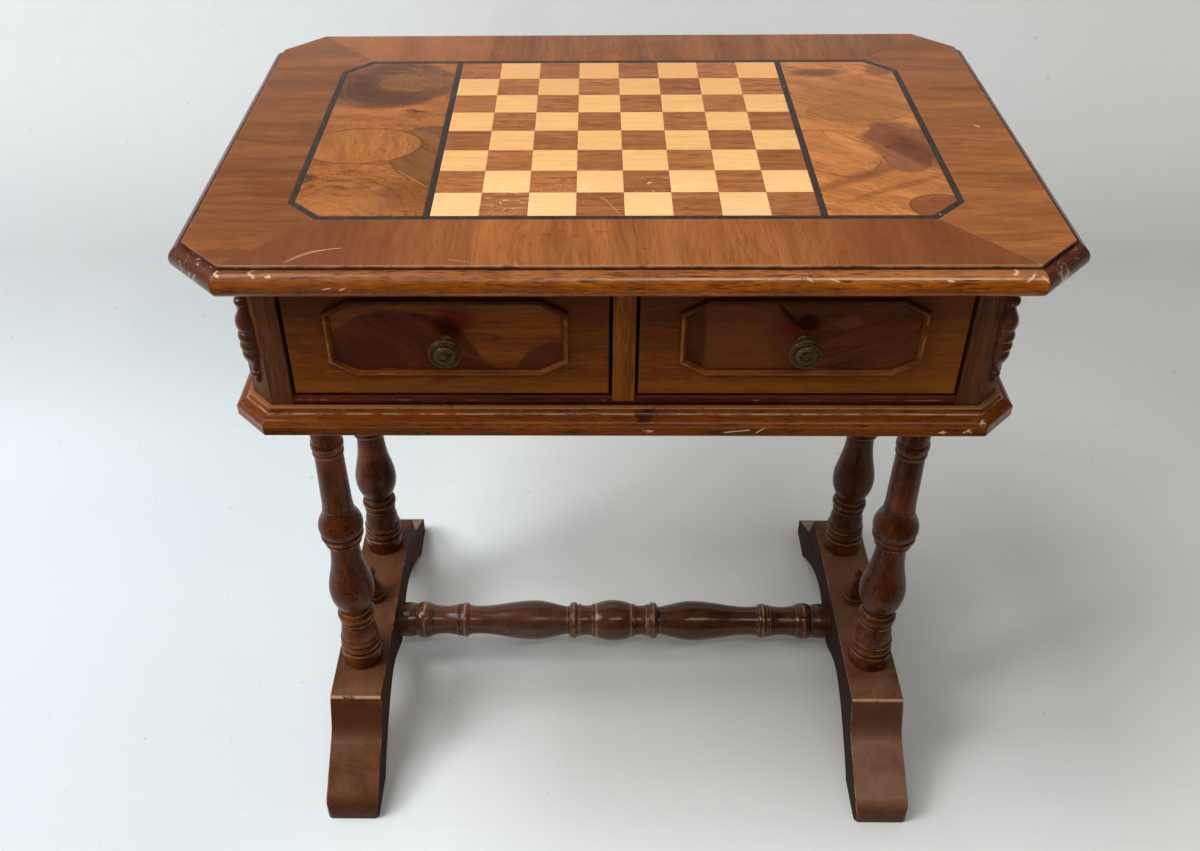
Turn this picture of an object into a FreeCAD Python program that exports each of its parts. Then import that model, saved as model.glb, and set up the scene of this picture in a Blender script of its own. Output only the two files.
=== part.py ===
import FreeCAD, Part
import math
import os

from FreeCAD import Vector

os.makedirs("parts", exist_ok=True)

# A games table. A chess board is inlaid in an eight-sided veneered top with a half-round edge. The
# top sits on a case with clipped corners, two drawers side by side and a moulded plinth. The case
# stands on two trestle ends, each a shaped foot with two turned legs, and a turned stretcher ties
# the feet. Millimetres, +Z up, origin on the floor under the middle; the drawers open towards -Y.

# ---- driving dimensions -------------------------------------------------------------------------

table_height = 728.0

# Top: inlay, veneers, core and edge moulding
square = 40.0                # side of one chess square
squares_per_side = 8
string_width = 6.0           # black stringing round and beside the board
side_panel = 110.0           # figured veneer each side of the board, between the strings
inlay_clip = 28.0            # clipped corner of the stringing, outside
border_side = 72.5           # cross-banded border at the two short ends
border_front = 71.5          # the same along the two long sides
field_clip = 38.0            # clipped corner of the veneered field
veneer = 1.5
top_thickness = 25.0
field_step = 4.0             # the field stands this much above the moulding's ledge
moulding_projection = 12.0   # from the edge of the field to the outside of the moulding
moulding_ledge = 4.0         # flat part of the moulding beside the field
field_arris = 0.8            # softened outer edge of the veneered field

# Case
top_overhang = 41.0          # from the case's face to the outside of the top's moulding
case_clip = 20.0
case_depth_z = 157.0         # height of the case, plinth included
post = 39.5                  # width of a corner post before its corner is clipped
rail_thickness = 20.0        # front rail and divider, front to back
board = 18.0                 # side and back boards
divider_width = 19.0
rail_height = 32.5           # front bottom rail
rail_bead = 9.0              # round bead along the rail's top edge
bead_radius = 6.0
rail_quirk = 1.5             # sunk line under the bead
divider_lap = 5.0            # the divider is let down this much into the rail
bottom_thickness = 18.0
tongue = 8.0                 # tongues of rails and boards in the posts
tongue_thickness = 6.0
partition_thickness = 12.0
block = 20.0                 # glue block under the top, square
block_length = 60.0
block_from_middle = 80.0     # each block's middle, from the middle of the case

# Plinth moulding
plinth_height = 23.0
plinth_projection = 16.0
plinth_fillet = 4.0          # flat strip next to the case
plinth_quirk = 1.5           # small drop beside that strip
plinth_face = 11.0           # height of the vertical face at the outside
plinth_round = 3.0           # rounded lower edge of that face

# Drawers
drawer_gap = 3.0             # round each drawer front
front_set_back = 1.0
drawer_front_thickness = 20.0
drawer_side_thickness = 10.0
drawer_back_thickness = 10.0
drawer_side_drop = 6.0       # the sides stop below the top edge of the front
drawer_bottom_thickness = 5.0
drawer_bottom_lift = 7.0     # groove for the bottom, above the lower edge
groove = 5.0
tail_length = 13.0           # dovetails run this far into the front
tails = 3
tail_flare = 3.0
running_gap = 0.3            # between a drawer and what guides or stops it
runner_height = 16.7
runner_width = 13.0
guide_height = 40.0
front_arris = 0.8

# Applied frame and veneer on each drawer front
frame_width = 203.0
frame_height = 76.0
frame_clip_x = 23.0
frame_clip_z = 13.0
frame_strip = 6.0
frame_relief = 4.5
panel_veneer = 1.0

# Brass knob
knob_radius = 13.4
knob_projection = 25.0
knob_drop = 3.4              # its middle below the middle of the frame
knob_rose_radius = 5.6
knob_rose = 2.2              # thickness of the rose against the drawer
knob_neck = 12.8
knob_flare = 2.0             # from the neck out to the disc
knob_ring = 1.6              # step inside the disc's rim
knob_button = 1.8            # rings and button in the middle of the disc
knob_shank_radius = 2.0
knob_shank = 14.0

# Split balusters on the clipped corners
baluster_gap = 11.0          # from the top's underside down to the turning's tip

# Trestle ends
trestle_x = 297.0            # middle of each foot
leg_y = 93.0                 # middle of each leg
foot_forward = 9.0           # the feet reach this much further to the front than to the back
foot_length = 470.0
foot_width = 58.0
foot_height = 102.0
deck_length = 290.0          # flat top of the foot
scoop_run = 31.0             # hollow from the deck down to the toe
toe_height = 56.0            # where the hollow ends and the toe's slope begins
nose_height = 30.0           # where that slope ends and the nose turns down
nose_run = 16.0
nose_face = 8.0              # upright part of the nose above the floor
toe_corner = 6.0
pad_length = 55.0            # what stands on the floor at each toe
arch_height = 56.5
arch_middle = 34.0           # the arch comes down to this height under the stretcher
leg_base_radius = 23.2
leg_tenon_radius = 11.0
leg_tenon = 28.0
bearer_width = 46.0
bearer_height = 24.0
bearer_past_leg = 50.0
bearer_tenon = 16.0
stretcher_z = 59.0
stretcher_tenon = 26.0
stretcher_tenon_radius = 11.0
finial_tenon = 14.0
finial_tenon_radius = 4.0
round_fit = 0.1              # radial clearance of round tenons, dowels and screws

# Countersunk wood screws
screw_length = 35.0
screw_radius = 2.0
screw_head_radius = 4.0
screw_head_height = 3.0
screw_tip = 6.0

# ---- sizes that follow --------------------------------------------------------------------------

board_half = square * squares_per_side / 2
inlay_half_x = board_half + 2 * string_width + side_panel
inlay_half_y = board_half + string_width
field_half_x = inlay_half_x + border_side
field_half_y = inlay_half_y + border_front
top_half_x = field_half_x + moulding_projection
top_half_y = field_half_y + moulding_projection

top_underside = table_height - top_thickness
veneer_underside = table_height - veneer
ledge_z = table_height - field_step

case_half_x = top_half_x - top_overhang
case_half_y = top_half_y - top_overhang
case_bottom = top_underside - case_depth_z
rail_top = case_bottom + rail_height
floor_of_case = case_bottom + bottom_thickness
post_inner_x = case_half_x - post
post_inner_y = case_half_y - post
side_inner_x = case_half_x - board
back_inner_y = case_half_y - board
rail_back_y = -case_half_y + rail_thickness

drawer_inner_x = divider_width / 2 + drawer_gap
drawer_outer_x = post_inner_x - drawer_gap
drawer_middle_x = (drawer_inner_x + drawer_outer_x) / 2
drawer_low = floor_of_case + runner_height + running_gap
drawer_top = top_underside - drawer_gap
drawer_face_y = -case_half_y + front_set_back
drawer_front_back_y = drawer_face_y + drawer_front_thickness
drawer_back_y = back_inner_y - running_gap
drawer_side_top = drawer_top - drawer_side_drop
drawer_bottom_z = drawer_low + drawer_bottom_lift
drawer_bottom_top = drawer_bottom_z + drawer_bottom_thickness
drawer_middle_z = (drawer_low + drawer_top) / 2

bearer_bottom = case_bottom - bearer_height
bearer_half_y = leg_y + bearer_past_leg
foot_inner_x = trestle_x - foot_width / 2
foot_half = foot_length / 2
deck_half = deck_length / 2

X_AXIS, Y_AXIS, Z_AXIS = Vector(1, 0, 0), Vector(0, 1, 0), Vector(0, 0, 1)
ORIGIN = Vector(0, 0, 0)


# ---- shape helpers ------------------------------------------------------------------------------

def box(x0, x1, y0, y1, z0, z1):
    """A block between two corners, given in any order."""
    low = Vector(min(x0, x1), min(y0, y1), min(z0, z1))
    return Part.makeBox(abs(x1 - x0), abs(y1 - y0), abs(z1 - z0), low)


def prism(points, z0, z1):
    """A plan outline of (x, y) points, raised from z0 to z1."""
    corners = [Vector(x, y, z0) for x, y in points]
    face = Part.Face(Part.makePolygon(corners + corners[:1]))
    return face.extrude(Vector(0, 0, z1 - z0))


def outline(place, start, *steps):
    """A closed wire from start. A step (a, b) is a straight line to that point, a pair of points an
    arc through the first to the second, and a longer list a smooth curve through all of them."""
    edges = []
    here = start
    for step in steps:
        points = [here] + (list(step) if isinstance(step[0], tuple) else [step])
        spots = [place(*point) for point in points]
        if len(spots) == 2:
            edges.append(Part.LineSegment(*spots).toShape())
        elif len(spots) == 3:
            edges.append(Part.Arc(*spots).toShape())
        else:
            curve = Part.BSplineCurve()
            curve.interpolate(spots)
            edges.append(curve.toShape())
        here = points[-1]
    if here != start:
        edges.append(Part.LineSegment(place(*here), place(*start)).toShape())
    return Part.Wire(edges)


def octagon(half_x, half_y, clip_x, clip_y=None):
    """A rectangle with clipped corners, from the left end of its front side anticlockwise."""
    clip_y = clip_x if clip_y is None else clip_y
    near_x, near_y = half_x - clip_x, half_y - clip_y
    return [(-near_x, -half_y), (near_x, -half_y), (half_x, -near_y), (half_x, near_y),
            (near_x, half_y), (-near_x, half_y), (-half_x, near_y), (-half_x, -near_y)]


def offset(points, distance):
    """The same anticlockwise outline with every side moved outwards."""
    moved = []
    for before, corner, after in zip(points[-1:] + points[:-1], points, points[1:] + points[:1]):
        first = math.atan2(corner[1] - before[1], corner[0] - before[0])
        second = math.atan2(after[1] - corner[1], after[0] - corner[0])
        half_turn = (second - first) % (2 * math.pi) / 2
        out = first + half_turn - math.pi / 2
        reach = distance / math.cos(half_turn)
        moved.append((corner[0] + reach * math.cos(out), corner[1] + reach * math.sin(out)))
    return moved


def mitred_lengths(points, profile, inside, outside):
    """Lengths of moulding round an outline, one for each side, mitred where they meet. profile maps
    a place function for (outwards, z) to the wire of the section, and the two reaches bound it."""
    spare = outside - inside
    inner, outer = offset(points, inside - 1), offset(points, outside + 1)
    lengths = []
    for i, (x0, y0) in enumerate(points):
        j = (i + 1) % len(points)
        along = Vector(points[j][0] - x0, points[j][1] - y0, 0)
        side = along.Length
        along.normalize()
        out = along.cross(Z_AXIS)
        start = Vector(x0, y0, 0) - along * 2 * spare

        def place(d, z, start=start, out=out):
            return start + out * d + Z_AXIS * z

        bar = Part.Face(profile(place)).extrude(along * (side + 4 * spare))
        low, high = bar.BoundBox.ZMin - 1, bar.BoundBox.ZMax + 1
        wedge = prism([inner[i], inner[j], outer[j], outer[i]], low, high)
        lengths.append(bar.common(wedge))
    return lengths


def turned(members, bottom=0.0):
    """A turned piece standing on the Z axis. members are listed from the bottom up as (kind,
    height, radii...): plain and taper are straight, a bead swells from its root to its largest
    radius, a curve passes its radii at even steps, and a dome closes the top."""
    edges = []
    z = bottom
    here = Vector(0, 0, z)

    def line_to(spot):
        if (spot - here).Length > 1e-6:
            edges.append(Part.LineSegment(here, spot).toShape())

    for kind, height, *radii in members:
        foot_of_member = Vector(radii[0], 0, z)
        line_to(foot_of_member)
        z += height
        if kind in ("plain", "taper"):
            head = Vector(radii[-1], 0, z)
            edges.append(Part.LineSegment(foot_of_member, head).toShape())
        elif kind == "bead":
            root, crown = radii
            head = Vector(root, 0, z)
            edges.append(Part.Arc(foot_of_member, Vector(crown, 0, z - height / 2), head).toShape())
        elif kind == "dome":
            ball = (radii[0] ** 2 + height ** 2) / (2 * height)
            swing = math.asin(min(1.0, radii[0] / ball)) / 2
            head = Vector(0, 0, z)
            shoulder = Vector(ball * math.sin(swing), 0, z - ball * (1 - math.cos(swing)))
            edges.append(Part.Arc(foot_of_member, shoulder, head).toShape())
        else:
            step = height / (len(radii) - 1)
            curve = Part.BSplineCurve()
            curve.interpolate([Vector(r, 0, z - height + step * n) for n, r in enumerate(radii)])
            head = Vector(radii[-1], 0, z)
            edges.append(curve.toShape())
        here = head
    line_to(Vector(0, 0, z))
    edges.append(Part.LineSegment(Vector(0, 0, z), Vector(0, 0, bottom)).toShape())
    return Part.Face(Part.Wire(edges)).revolve(ORIGIN, Z_AXIS, 360)


def height_of(members):
    return sum(member[1] for member in members)


def upside_down(members):
    """The same turned members from the top down. Straight and curved ones swap their ends."""
    return [(m[0], m[1], *(m[2:] if m[0] == "bead" else m[:1:-1])) for m in reversed(members)]


def rod(x, y, z0, z1, radius):
    return Part.makeCylinder(radius, z1 - z0, Vector(x, y, z0))


def soften(shape, radius, chosen):
    """Rounds the edges whose middle passes the test."""
    edges = [e for e in shape.Edges if chosen(e.CenterOfMass, e)]
    return shape.makeFillet(radius, edges)


def mirrored(shape, normal):
    return shape.mirror(ORIGIN, normal)


def save(name, *solids):
    """Writes one node, a single solid or a group of separate ones."""
    pieces = [solid for shape in solids for solid in shape.Solids]
    shape = pieces[0] if len(pieces) == 1 else Part.makeCompound(pieces)
    shape.exportStep(f"parts/{name}.step")


def ends(name):
    """Left and right sides, as the two signs of X with their names."""
    return ((-1, f"{name}_left"), (1, f"{name}_right"))


# ---- screws -------------------------------------------------------------------------------------

def screw(x, y, head_z, spare=0.0):
    """A countersunk wood screw driven upwards, its head flush at head_z. spare widens it to the
    hole it sits in."""
    shank = screw_radius + spare
    head = screw_head_radius + spare
    shape = turned([("taper", screw_head_height, head, shank),
                    ("plain", screw_length - screw_head_height - screw_tip, shank),
                    ("taper", screw_tip, shank, 0.4 + spare)])
    return shape.translated(Vector(x, y, head_z))


bearer_screws_at = [(sx * trestle_x, y) for sx in (-1, 1) for y in (-leg_y / 2, 0, leg_y / 2)]
block_x = side_inner_x - block / 2
blocks_at = [(sx * block_x, sy * block_from_middle) for sx in (-1, 1) for sy in (-1, 1)]
block_bottom = top_underside - block


def screw_holes(places, head_z):
    return [screw(x, y, head_z, round_fit) for x, y in places]


screws = [screw(x, y, bearer_bottom) for x, y in bearer_screws_at]
screws += [screw(x, y, block_bottom) for x, y in blocks_at]
save("fixing_screws", *screws)

# ---- top ----------------------------------------------------------------------------------------

field = octagon(field_half_x, field_half_y, field_clip)
inlay = octagon(inlay_half_x, inlay_half_y, inlay_clip)
inside_strings = offset(inlay, -string_width)

core = prism(field, top_underside, veneer_underside)
save("top_core", core.cut(screw_holes(blocks_at, block_bottom)))


def top_section(place):
    """Half-round nose with a narrow ledge beside the field."""
    nose = (moulding_projection, (ledge_z + top_underside) / 2)
    return outline(place, (0, top_underside), (moulding_ledge, top_underside),
                   (nose, (moulding_ledge, ledge_z)), (0, ledge_z))


top_lengths = mitred_lengths(field, top_section, 0, moulding_projection)
save("top_moulding_front", top_lengths[0])
save("top_moulding_back", top_lengths[4])
save("top_moulding_sides", top_lengths[2], top_lengths[6])
save("top_moulding_corners", *top_lengths[1::2])


def top_veneer(points):
    return prism(points, veneer_underside, table_height)


def border(*corners):
    """One band of the border: the field's corners and back along the stringing. Its outer edge is
    softened."""
    band = top_veneer([field[i] for i in corners] + [inlay[i] for i in reversed(corners)])
    rim = prism(offset(field, -field_arris / 2), veneer_underside, table_height + 1)
    return soften(band, field_arris, lambda c, e: c.z > table_height - 0.01
                  and not rim.isInside(Vector(c.x, c.y, table_height), 0.01, True))


save("border_front", border(0, 1))
save("border_right", border(1, 2, 3, 4))
save("border_back", border(4, 5))
save("border_left", border(5, 6, 7, 0))

strings = []
for i in range(len(inlay)):
    j = (i + 1) % len(inlay)
    strings.append(top_veneer([inlay[i], inlay[j], inside_strings[j], inside_strings[i]]))
for side in (-1, 1):
    strings.append(box(side * board_half, side * (board_half + string_width), -board_half,
                       board_half, veneer_underside, table_height))
save("black_stringing", *strings)

chess = {"light_squares": [], "dark_squares": []}
for column in range(squares_per_side):
    for row in range(squares_per_side):
        colour = "light_squares" if (column + row) % 2 == 0 else "dark_squares"
        x, y = -board_half + column * square, -board_half + row * square
        chess[colour].append(box(x, x + square, y, y + square, veneer_underside, table_height))
for name, pieces in chess.items():
    save(name, *pieces)

panel_inner_x = board_half + string_width
panel_field = top_veneer(inside_strings)
for side, name in ends("figured_panel"):
    half_field = box(side * panel_inner_x, side * field_half_x, -field_half_y, field_half_y,
                     veneer_underside, table_height)
    save(name, panel_field.common(half_field))

# ---- case ---------------------------------------------------------------------------------------

case = octagon(case_half_x, case_half_y, case_clip)
case_body = prism(case, case_bottom, top_underside)
side_middle_x = case_half_x - board / 2
back_middle_y = case_half_y - board / 2
rail_middle_y = -case_half_y + rail_thickness / 2
half_tongue = tongue_thickness / 2


def rail_section():
    """Front bottom rail in Y and Z: a round bead along its top front edge, over a small quirk."""
    face, quirk_z = -case_half_y, rail_top - rail_bead
    belly_z = rail_top - bead_radius
    return outline(lambda y, z: Vector(-post_inner_x, y, z), (rail_back_y, case_bottom),
                   (face, case_bottom), (face, quirk_z - rail_quirk),
                   (face + rail_quirk, quirk_z - rail_quirk), (face + rail_quirk, quirk_z),
                   ((face + 0.25 * rail_quirk, (quirk_z + belly_z) / 2), (face, belly_z)),
                   ((face + 0.3 * bead_radius, rail_top - 0.3 * bead_radius),
                    (face + bead_radius, rail_top)), (rail_back_y, rail_top))


def boards_with_tongues():
    """Side boards, back board and front rail, each with a tongue on both ends."""
    sides = [box(sx * side_inner_x, sx * case_half_x, -post_inner_y, post_inner_y, case_bottom,
                 top_underside)
             .fuse(box(sx * side_middle_x - half_tongue, sx * side_middle_x + half_tongue,
                       -post_inner_y - tongue, post_inner_y + tongue, case_bottom, top_underside))
             for sx in (-1, 1)]
    back = box(-post_inner_x, post_inner_x, back_inner_y, case_half_y, case_bottom, top_underside)
    back = back.fuse(box(-post_inner_x - tongue, post_inner_x + tongue, back_middle_y - half_tongue,
                         back_middle_y + half_tongue, case_bottom, top_underside))
    rail = Part.Face(rail_section()).extrude(Vector(2 * post_inner_x, 0, 0))
    rail = rail.fuse(box(-post_inner_x - tongue, post_inner_x + tongue, rail_middle_y - half_tongue,
                         rail_middle_y + half_tongue, case_bottom, rail_top - rail_bead))
    return sides, back, rail


case_sides, case_back, front_rail = boards_with_tongues()
tongued = case_sides + [case_back, front_rail]


divider_seat = box(-divider_width / 2, divider_width / 2, -case_half_y, rail_back_y,
                   rail_top - divider_lap, rail_top)
save("front_bottom_rail", front_rail.cut(divider_seat))
divider = box(-divider_width / 2, divider_width / 2, -case_half_y, rail_back_y,
              rail_top - divider_lap, top_underside)
save("drawer_divider", divider)
save("case_back", case_back)
for (side, name), shape in zip(ends("case_side"), case_sides):
    save(name, shape)

for side_y, depth in ((-1, "front"), (1, "back")):
    for side_x, name in ends(f"corner_post_{depth}"):
        square_post = box(side_x * post_inner_x, side_x * case_half_x, side_y * post_inner_y,
                          side_y * case_half_y, case_bottom, top_underside)
        save(name, square_post.common(case_body).cut(tongued))

partition_half = partition_thickness / 2
save("centre_partition", box(-partition_half, partition_half, rail_back_y, back_inner_y,
                             floor_of_case, drawer_side_top))

blocks = [box(x - block / 2, x + block / 2, y - block_length / 2, y + block_length / 2,
              block_bottom, top_underside) for x, y in blocks_at]
save("top_glue_blocks", *[b.cut(screw_holes(blocks_at, block_bottom)) for b in blocks])

runners = []
for side in (-1, 1):
    guide_outer = drawer_outer_x + running_gap
    outer_runner = box(side * (drawer_outer_x - runner_width), side * side_inner_x, -post_inner_y,
                       post_inner_y, floor_of_case, floor_of_case + runner_height)
    outer_guide = box(side * guide_outer, side * side_inner_x, -post_inner_y, post_inner_y,
                      floor_of_case, floor_of_case + guide_height)
    guide_inner = drawer_inner_x - running_gap
    inner_runner = box(side * partition_half, side * (drawer_inner_x + runner_width), rail_back_y,
                       back_inner_y, floor_of_case, floor_of_case + runner_height)
    inner_guide = box(side * partition_half, side * guide_inner, rail_back_y, back_inner_y,
                      floor_of_case, floor_of_case + guide_height)
    runners += [outer_runner.fuse(outer_guide).removeSplitter(),
                inner_runner.fuse(inner_guide).removeSplitter()]
save("drawer_runners", *runners)

# The bottom board fills the case between its boards and is notched round the four posts.
bottom_board = box(-side_inner_x, side_inner_x, rail_back_y, back_inner_y, case_bottom,
                   floor_of_case)
for side_x in (-1, 1):
    for side_y in (-1, 1):
        bottom_board = bottom_board.cut(box(side_x * post_inner_x, side_x * case_half_x,
                                            side_y * post_inner_y, side_y * case_half_y,
                                            case_bottom, floor_of_case))
save("case_bottom", bottom_board.cut(screw_holes(bearer_screws_at, bearer_bottom)))


def plinth_section(place):
    """A flat strip, a small drop, an ogee and a vertical face with a rounded lower edge."""
    top = case_bottom + plinth_height
    strip_low = top - plinth_quirk
    face_top = case_bottom + plinth_face
    fall, run = strip_low - face_top, plinth_projection - plinth_fillet
    middle = (plinth_fillet + run / 2, face_top + fall / 2)
    swell = (plinth_projection - run / 6, face_top + fall / 3)
    hollow = (plinth_fillet + run / 6, strip_low - fall / 3)
    corner = (plinth_projection - plinth_round * 0.3, case_bottom + plinth_round * 0.3)
    return outline(place, (0, case_bottom), (plinth_projection - plinth_round, case_bottom),
                   (corner, (plinth_projection, case_bottom + plinth_round)),
                   (plinth_projection, face_top), (swell, middle),
                   (hollow, (plinth_fillet, strip_low)), (plinth_fillet, top), (0, top))


plinth = mitred_lengths(case, plinth_section, 0, plinth_projection)
save("plinth_front", plinth[0])
save("plinth_back", plinth[4])
save("plinth_sides", plinth[2], plinth[6])
save("plinth_corners", *plinth[1::2])

# Half-round turnings glued to the clipped corners, listed from the drop at the bottom.
baluster = [("bead", 7.0, 0.6, 3.6), ("bead", 7.0, 3.6, 5.8), ("curve", 22.0, 4.2, 4.8, 7.0, 9.0, 8.4),
            ("bead", 9.0, 8.0, 9.8), ("bead", 10.0, 8.2, 10.0), ("curve", 25.0, 7.6, 9.8, 9.4, 6.6, 4.8),
            ("bead", 8.0, 5.4, 7.6), ("curve", 12.0, 4.6, 4.4, 5.6), ("bead", 5.0, 3.4, 4.8)]
baluster_bottom = top_underside - baluster_gap - height_of(baluster)
half_space = box(0, post, -post, post, -1, height_of(baluster) + 1)
half_turning = turned(baluster).common(half_space)
corner_middle = (case_half_x - case_clip / 2, case_half_y - case_clip / 2)
balusters = []
for side_x, side_y, turn in ((1, 1, 45), (-1, 1, 135), (-1, -1, 225), (1, -1, 315)):
    piece = half_turning.copy()
    piece.rotate(ORIGIN, Z_AXIS, turn)
    balusters.append(piece.translated(Vector(side_x * corner_middle[0], side_y * corner_middle[1],
                                             baluster_bottom)))
save("split_balusters", *balusters)

# ---- drawers ------------------------------------------------------------------------------------

tail_root_y = drawer_front_back_y
tail_end_y = drawer_front_back_y - tail_length
tail_pitch = (drawer_side_top - drawer_low) / tails
tail_half = tail_pitch * 0.28


def tail(side_x, x0, x1, number):
    """One dovetail of a drawer side, wider at its end, across the side's thickness."""
    middle = drawer_low + tail_pitch * (number + 0.5)
    section = outline(lambda y, z: Vector(min(x0, x1), y, z),
                      (tail_root_y, middle - tail_half + tail_flare),
                      (tail_end_y, middle - tail_half), (tail_end_y, middle + tail_half),
                      (tail_root_y, middle + tail_half - tail_flare))
    return Part.Face(section).extrude(Vector(abs(x1 - x0), 0, 0))


def knob_shape():
    """A turned knob with a rose, a waisted neck and a ringed disc; its shank runs into the front."""
    rim = knob_projection - knob_rose - knob_neck - knob_flare - knob_ring - knob_button
    waist = 0.55 * knob_rose_radius
    inside = knob_radius - 1.2
    members = [("plain", knob_rose, knob_rose_radius),
               ("curve", knob_neck, waist + 1.4, waist - 0.2, waist, knob_rose_radius - 1),
               ("taper", knob_flare, knob_rose_radius + 1, knob_radius),
               ("bead", rim, knob_radius, knob_radius + 0.4),
               ("bead", knob_ring, inside, inside + 0.6),
               ("taper", knob_button / 3, 0.61 * knob_radius, 0.59 * knob_radius),
               ("bead", knob_button / 3, 0.45 * knob_radius, 0.49 * knob_radius),
               ("dome", knob_button / 3, 0.19 * knob_radius)]
    shank = turned([("plain", knob_shank, knob_shank_radius)], -knob_shank)
    return turned(members).fuse(shank)


frame_octagon = octagon(frame_width / 2, frame_height / 2, frame_clip_x, frame_clip_z)


def frame_section(place):
    """A strip with a rounded outer edge and a hollow falling to the inside."""
    top = frame_relief
    return outline(place, (0, 0), (0, 0.5 * top), ((-0.7, 0.86 * top), (-0.32 * frame_strip, top)),
                   (-0.5 * frame_strip, top), ((-0.66 * frame_strip, 0.52 * top),
                                               (-frame_strip, 0.32 * top)),
                   (-frame_strip, 0))


def on_drawer_face(shape, middle_x):
    """Stands a shape, drawn flat and facing up, against a drawer's face."""
    upright = shape.copy()
    upright.rotate(ORIGIN, X_AXIS, 90)
    return upright.translated(Vector(middle_x, drawer_face_y, drawer_middle_z))


frame_strips = mitred_lengths(frame_octagon, frame_section, -frame_strip, 0)
veneer_sheet = prism(offset(frame_octagon, -frame_strip), 0, panel_veneer)
veneer_sheet = veneer_sheet.cut(Part.makeCylinder(knob_rose_radius, panel_veneer, Vector(0, -knob_drop, 0)))
knob = knob_shape().translated(Vector(0, -knob_drop, 0))
shank_hole = Part.makeCylinder(knob_shank_radius + round_fit, knob_shank + round_fit,
                               Vector(0, -knob_drop, -knob_shank - round_fit))

for side, prefix in ((-1, "left_drawer"), (1, "right_drawer")):
    inner, outer = side * drawer_inner_x, side * drawer_outer_x
    middle_x = side * drawer_middle_x
    inner_wall = side * (drawer_inner_x + drawer_side_thickness)
    outer_wall = side * (drawer_outer_x - drawer_side_thickness)
    back_face_y = drawer_back_y - drawer_back_thickness

    panel = box(inner_wall - side * groove, outer_wall + side * groove,
                drawer_front_back_y - groove, drawer_back_y, drawer_bottom_z, drawer_bottom_top)
    front = box(inner, outer, drawer_face_y, drawer_front_back_y, drawer_low, drawer_top)
    front = soften(front, front_arris, lambda c, e: c.y < drawer_face_y + 0.01)
    back = box(inner_wall - side * groove / 2, outer_wall + side * groove / 2, back_face_y,
               drawer_back_y, drawer_bottom_top, drawer_side_top)

    walls = {}
    for wall, x0, x1 in (("inner", inner, inner_wall), ("outer", outer_wall, outer)):
        sheet = box(x0, x1, drawer_front_back_y, drawer_back_y, drawer_low, drawer_side_top)
        joints = [tail(side, x0, x1, number) for number in range(tails)]
        front = front.cut(joints)
        walls[wall] = sheet.fuse(joints).removeSplitter().cut([panel, back])

    save(f"{prefix}_front", front.cut([panel, on_drawer_face(shank_hole, middle_x)]))
    save(f"{prefix}_side_inner", walls["inner"])
    save(f"{prefix}_side_outer", walls["outer"])
    save(f"{prefix}_back", back)
    save(f"{prefix}_bottom", panel)
    save(f"{prefix}_frame", *[on_drawer_face(strip, middle_x) for strip in frame_strips])
    save(f"{prefix}_veneer", on_drawer_face(veneer_sheet, middle_x))
    save(f"{prefix}_knob", on_drawer_face(knob, middle_x))

# ---- trestle ends -------------------------------------------------------------------------------

# Turned members of a leg above its tenon, from the foot up; a plain neck then fills the height.
leg_members = [
    ("plain", 21.0, leg_base_radius), ("plain", 2.5, 21.4), ("bead", 8.0, 21.6, 22.9),
    ("plain", 1.5, 20.6), ("bead", 7.0, 20.8, 22.3), ("plain", 1.5, 20.0),
    ("curve", 19.0, 20.6, 20.2, 19.2, 17.4), ("plain", 2.5, 16.6), ("bead", 6.0, 17.4, 19.2),
    ("bead", 13.5, 17.6, 20.8), ("plain", 2.5, 17.6), ("plain", 3.5, 16.2),
    ("curve", 96.0, 17.0, 23.8, 24.9, 22.2, 18.8, 16.8, 16.0), ("plain", 2.5, 15.6),
    ("bead", 9.0, 17.0, 20.2), ("bead", 9.5, 20.0, 23.2), ("plain", 1.5, 21.6),
    ("curve", 32.0, 22.8, 24.2, 22.2, 18.4, 16.6), ("plain", 2.0, 16.6),
    ("taper", 73.0, 16.2, 14.9), ("bead", 6.0, 15.0, 16.3), ("bead", 14.0, 15.4, 17.0)]
leg_neck_radius = 15.6
leg_length = bearer_bottom - foot_height
leg_neck = leg_length - height_of(leg_members)
leg = turned([("plain", leg_tenon, leg_tenon_radius)] + leg_members
             + [("plain", leg_neck, leg_neck_radius), ("plain", bearer_tenon, leg_tenon_radius)],
             foot_height - leg_tenon)

for side_y, depth in ((-1, "front"), (1, "back")):
    for side_x, name in ends(f"leg_{depth}"):
        save(name, leg.translated(Vector(side_x * trestle_x, side_y * leg_y, 0)))

# Turned members of half the stretcher, from the foot to its middle ball.
stretcher_members = [
    ("plain", 12.0, 21.5), ("curve", 9.0, 21.5, 21.0, 20.0), ("bead", 20.0, 19.5, 22.6),
    ("plain", 2.0, 19.0), ("curve", 30.0, 19.0, 17.4, 17.6, 19.4), ("plain", 3.5, 20.0),
    ("bead", 10.5, 19.4, 21.4), ("plain", 2.5, 18.4),
    ("curve", 120.5, 17.8, 17.6, 19.4, 22.0, 24.0, 24.2, 21.0, 17.0), ("plain", 3.0, 17.6),
    ("bead", 10.5, 19.4, 22.6), ("plain", 4.0, 20.0), ("curve", 14.0, 19.2, 18.2, 19.0),
    ("plain", 4.0, 20.6)]
stretcher_ball = 2 * (foot_inner_x - height_of(stretcher_members))
stretcher = turned([("plain", stretcher_tenon, stretcher_tenon_radius)] + stretcher_members
                   + [("bead", stretcher_ball, 20.6, 25.2)] + upside_down(stretcher_members)
                   + [("plain", stretcher_tenon, stretcher_tenon_radius)],
                   -foot_inner_x - stretcher_tenon)
stretcher.rotate(ORIGIN, Y_AXIS, 90)
save("stretcher", stretcher.translated(Vector(0, 0, stretcher_z)))

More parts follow.
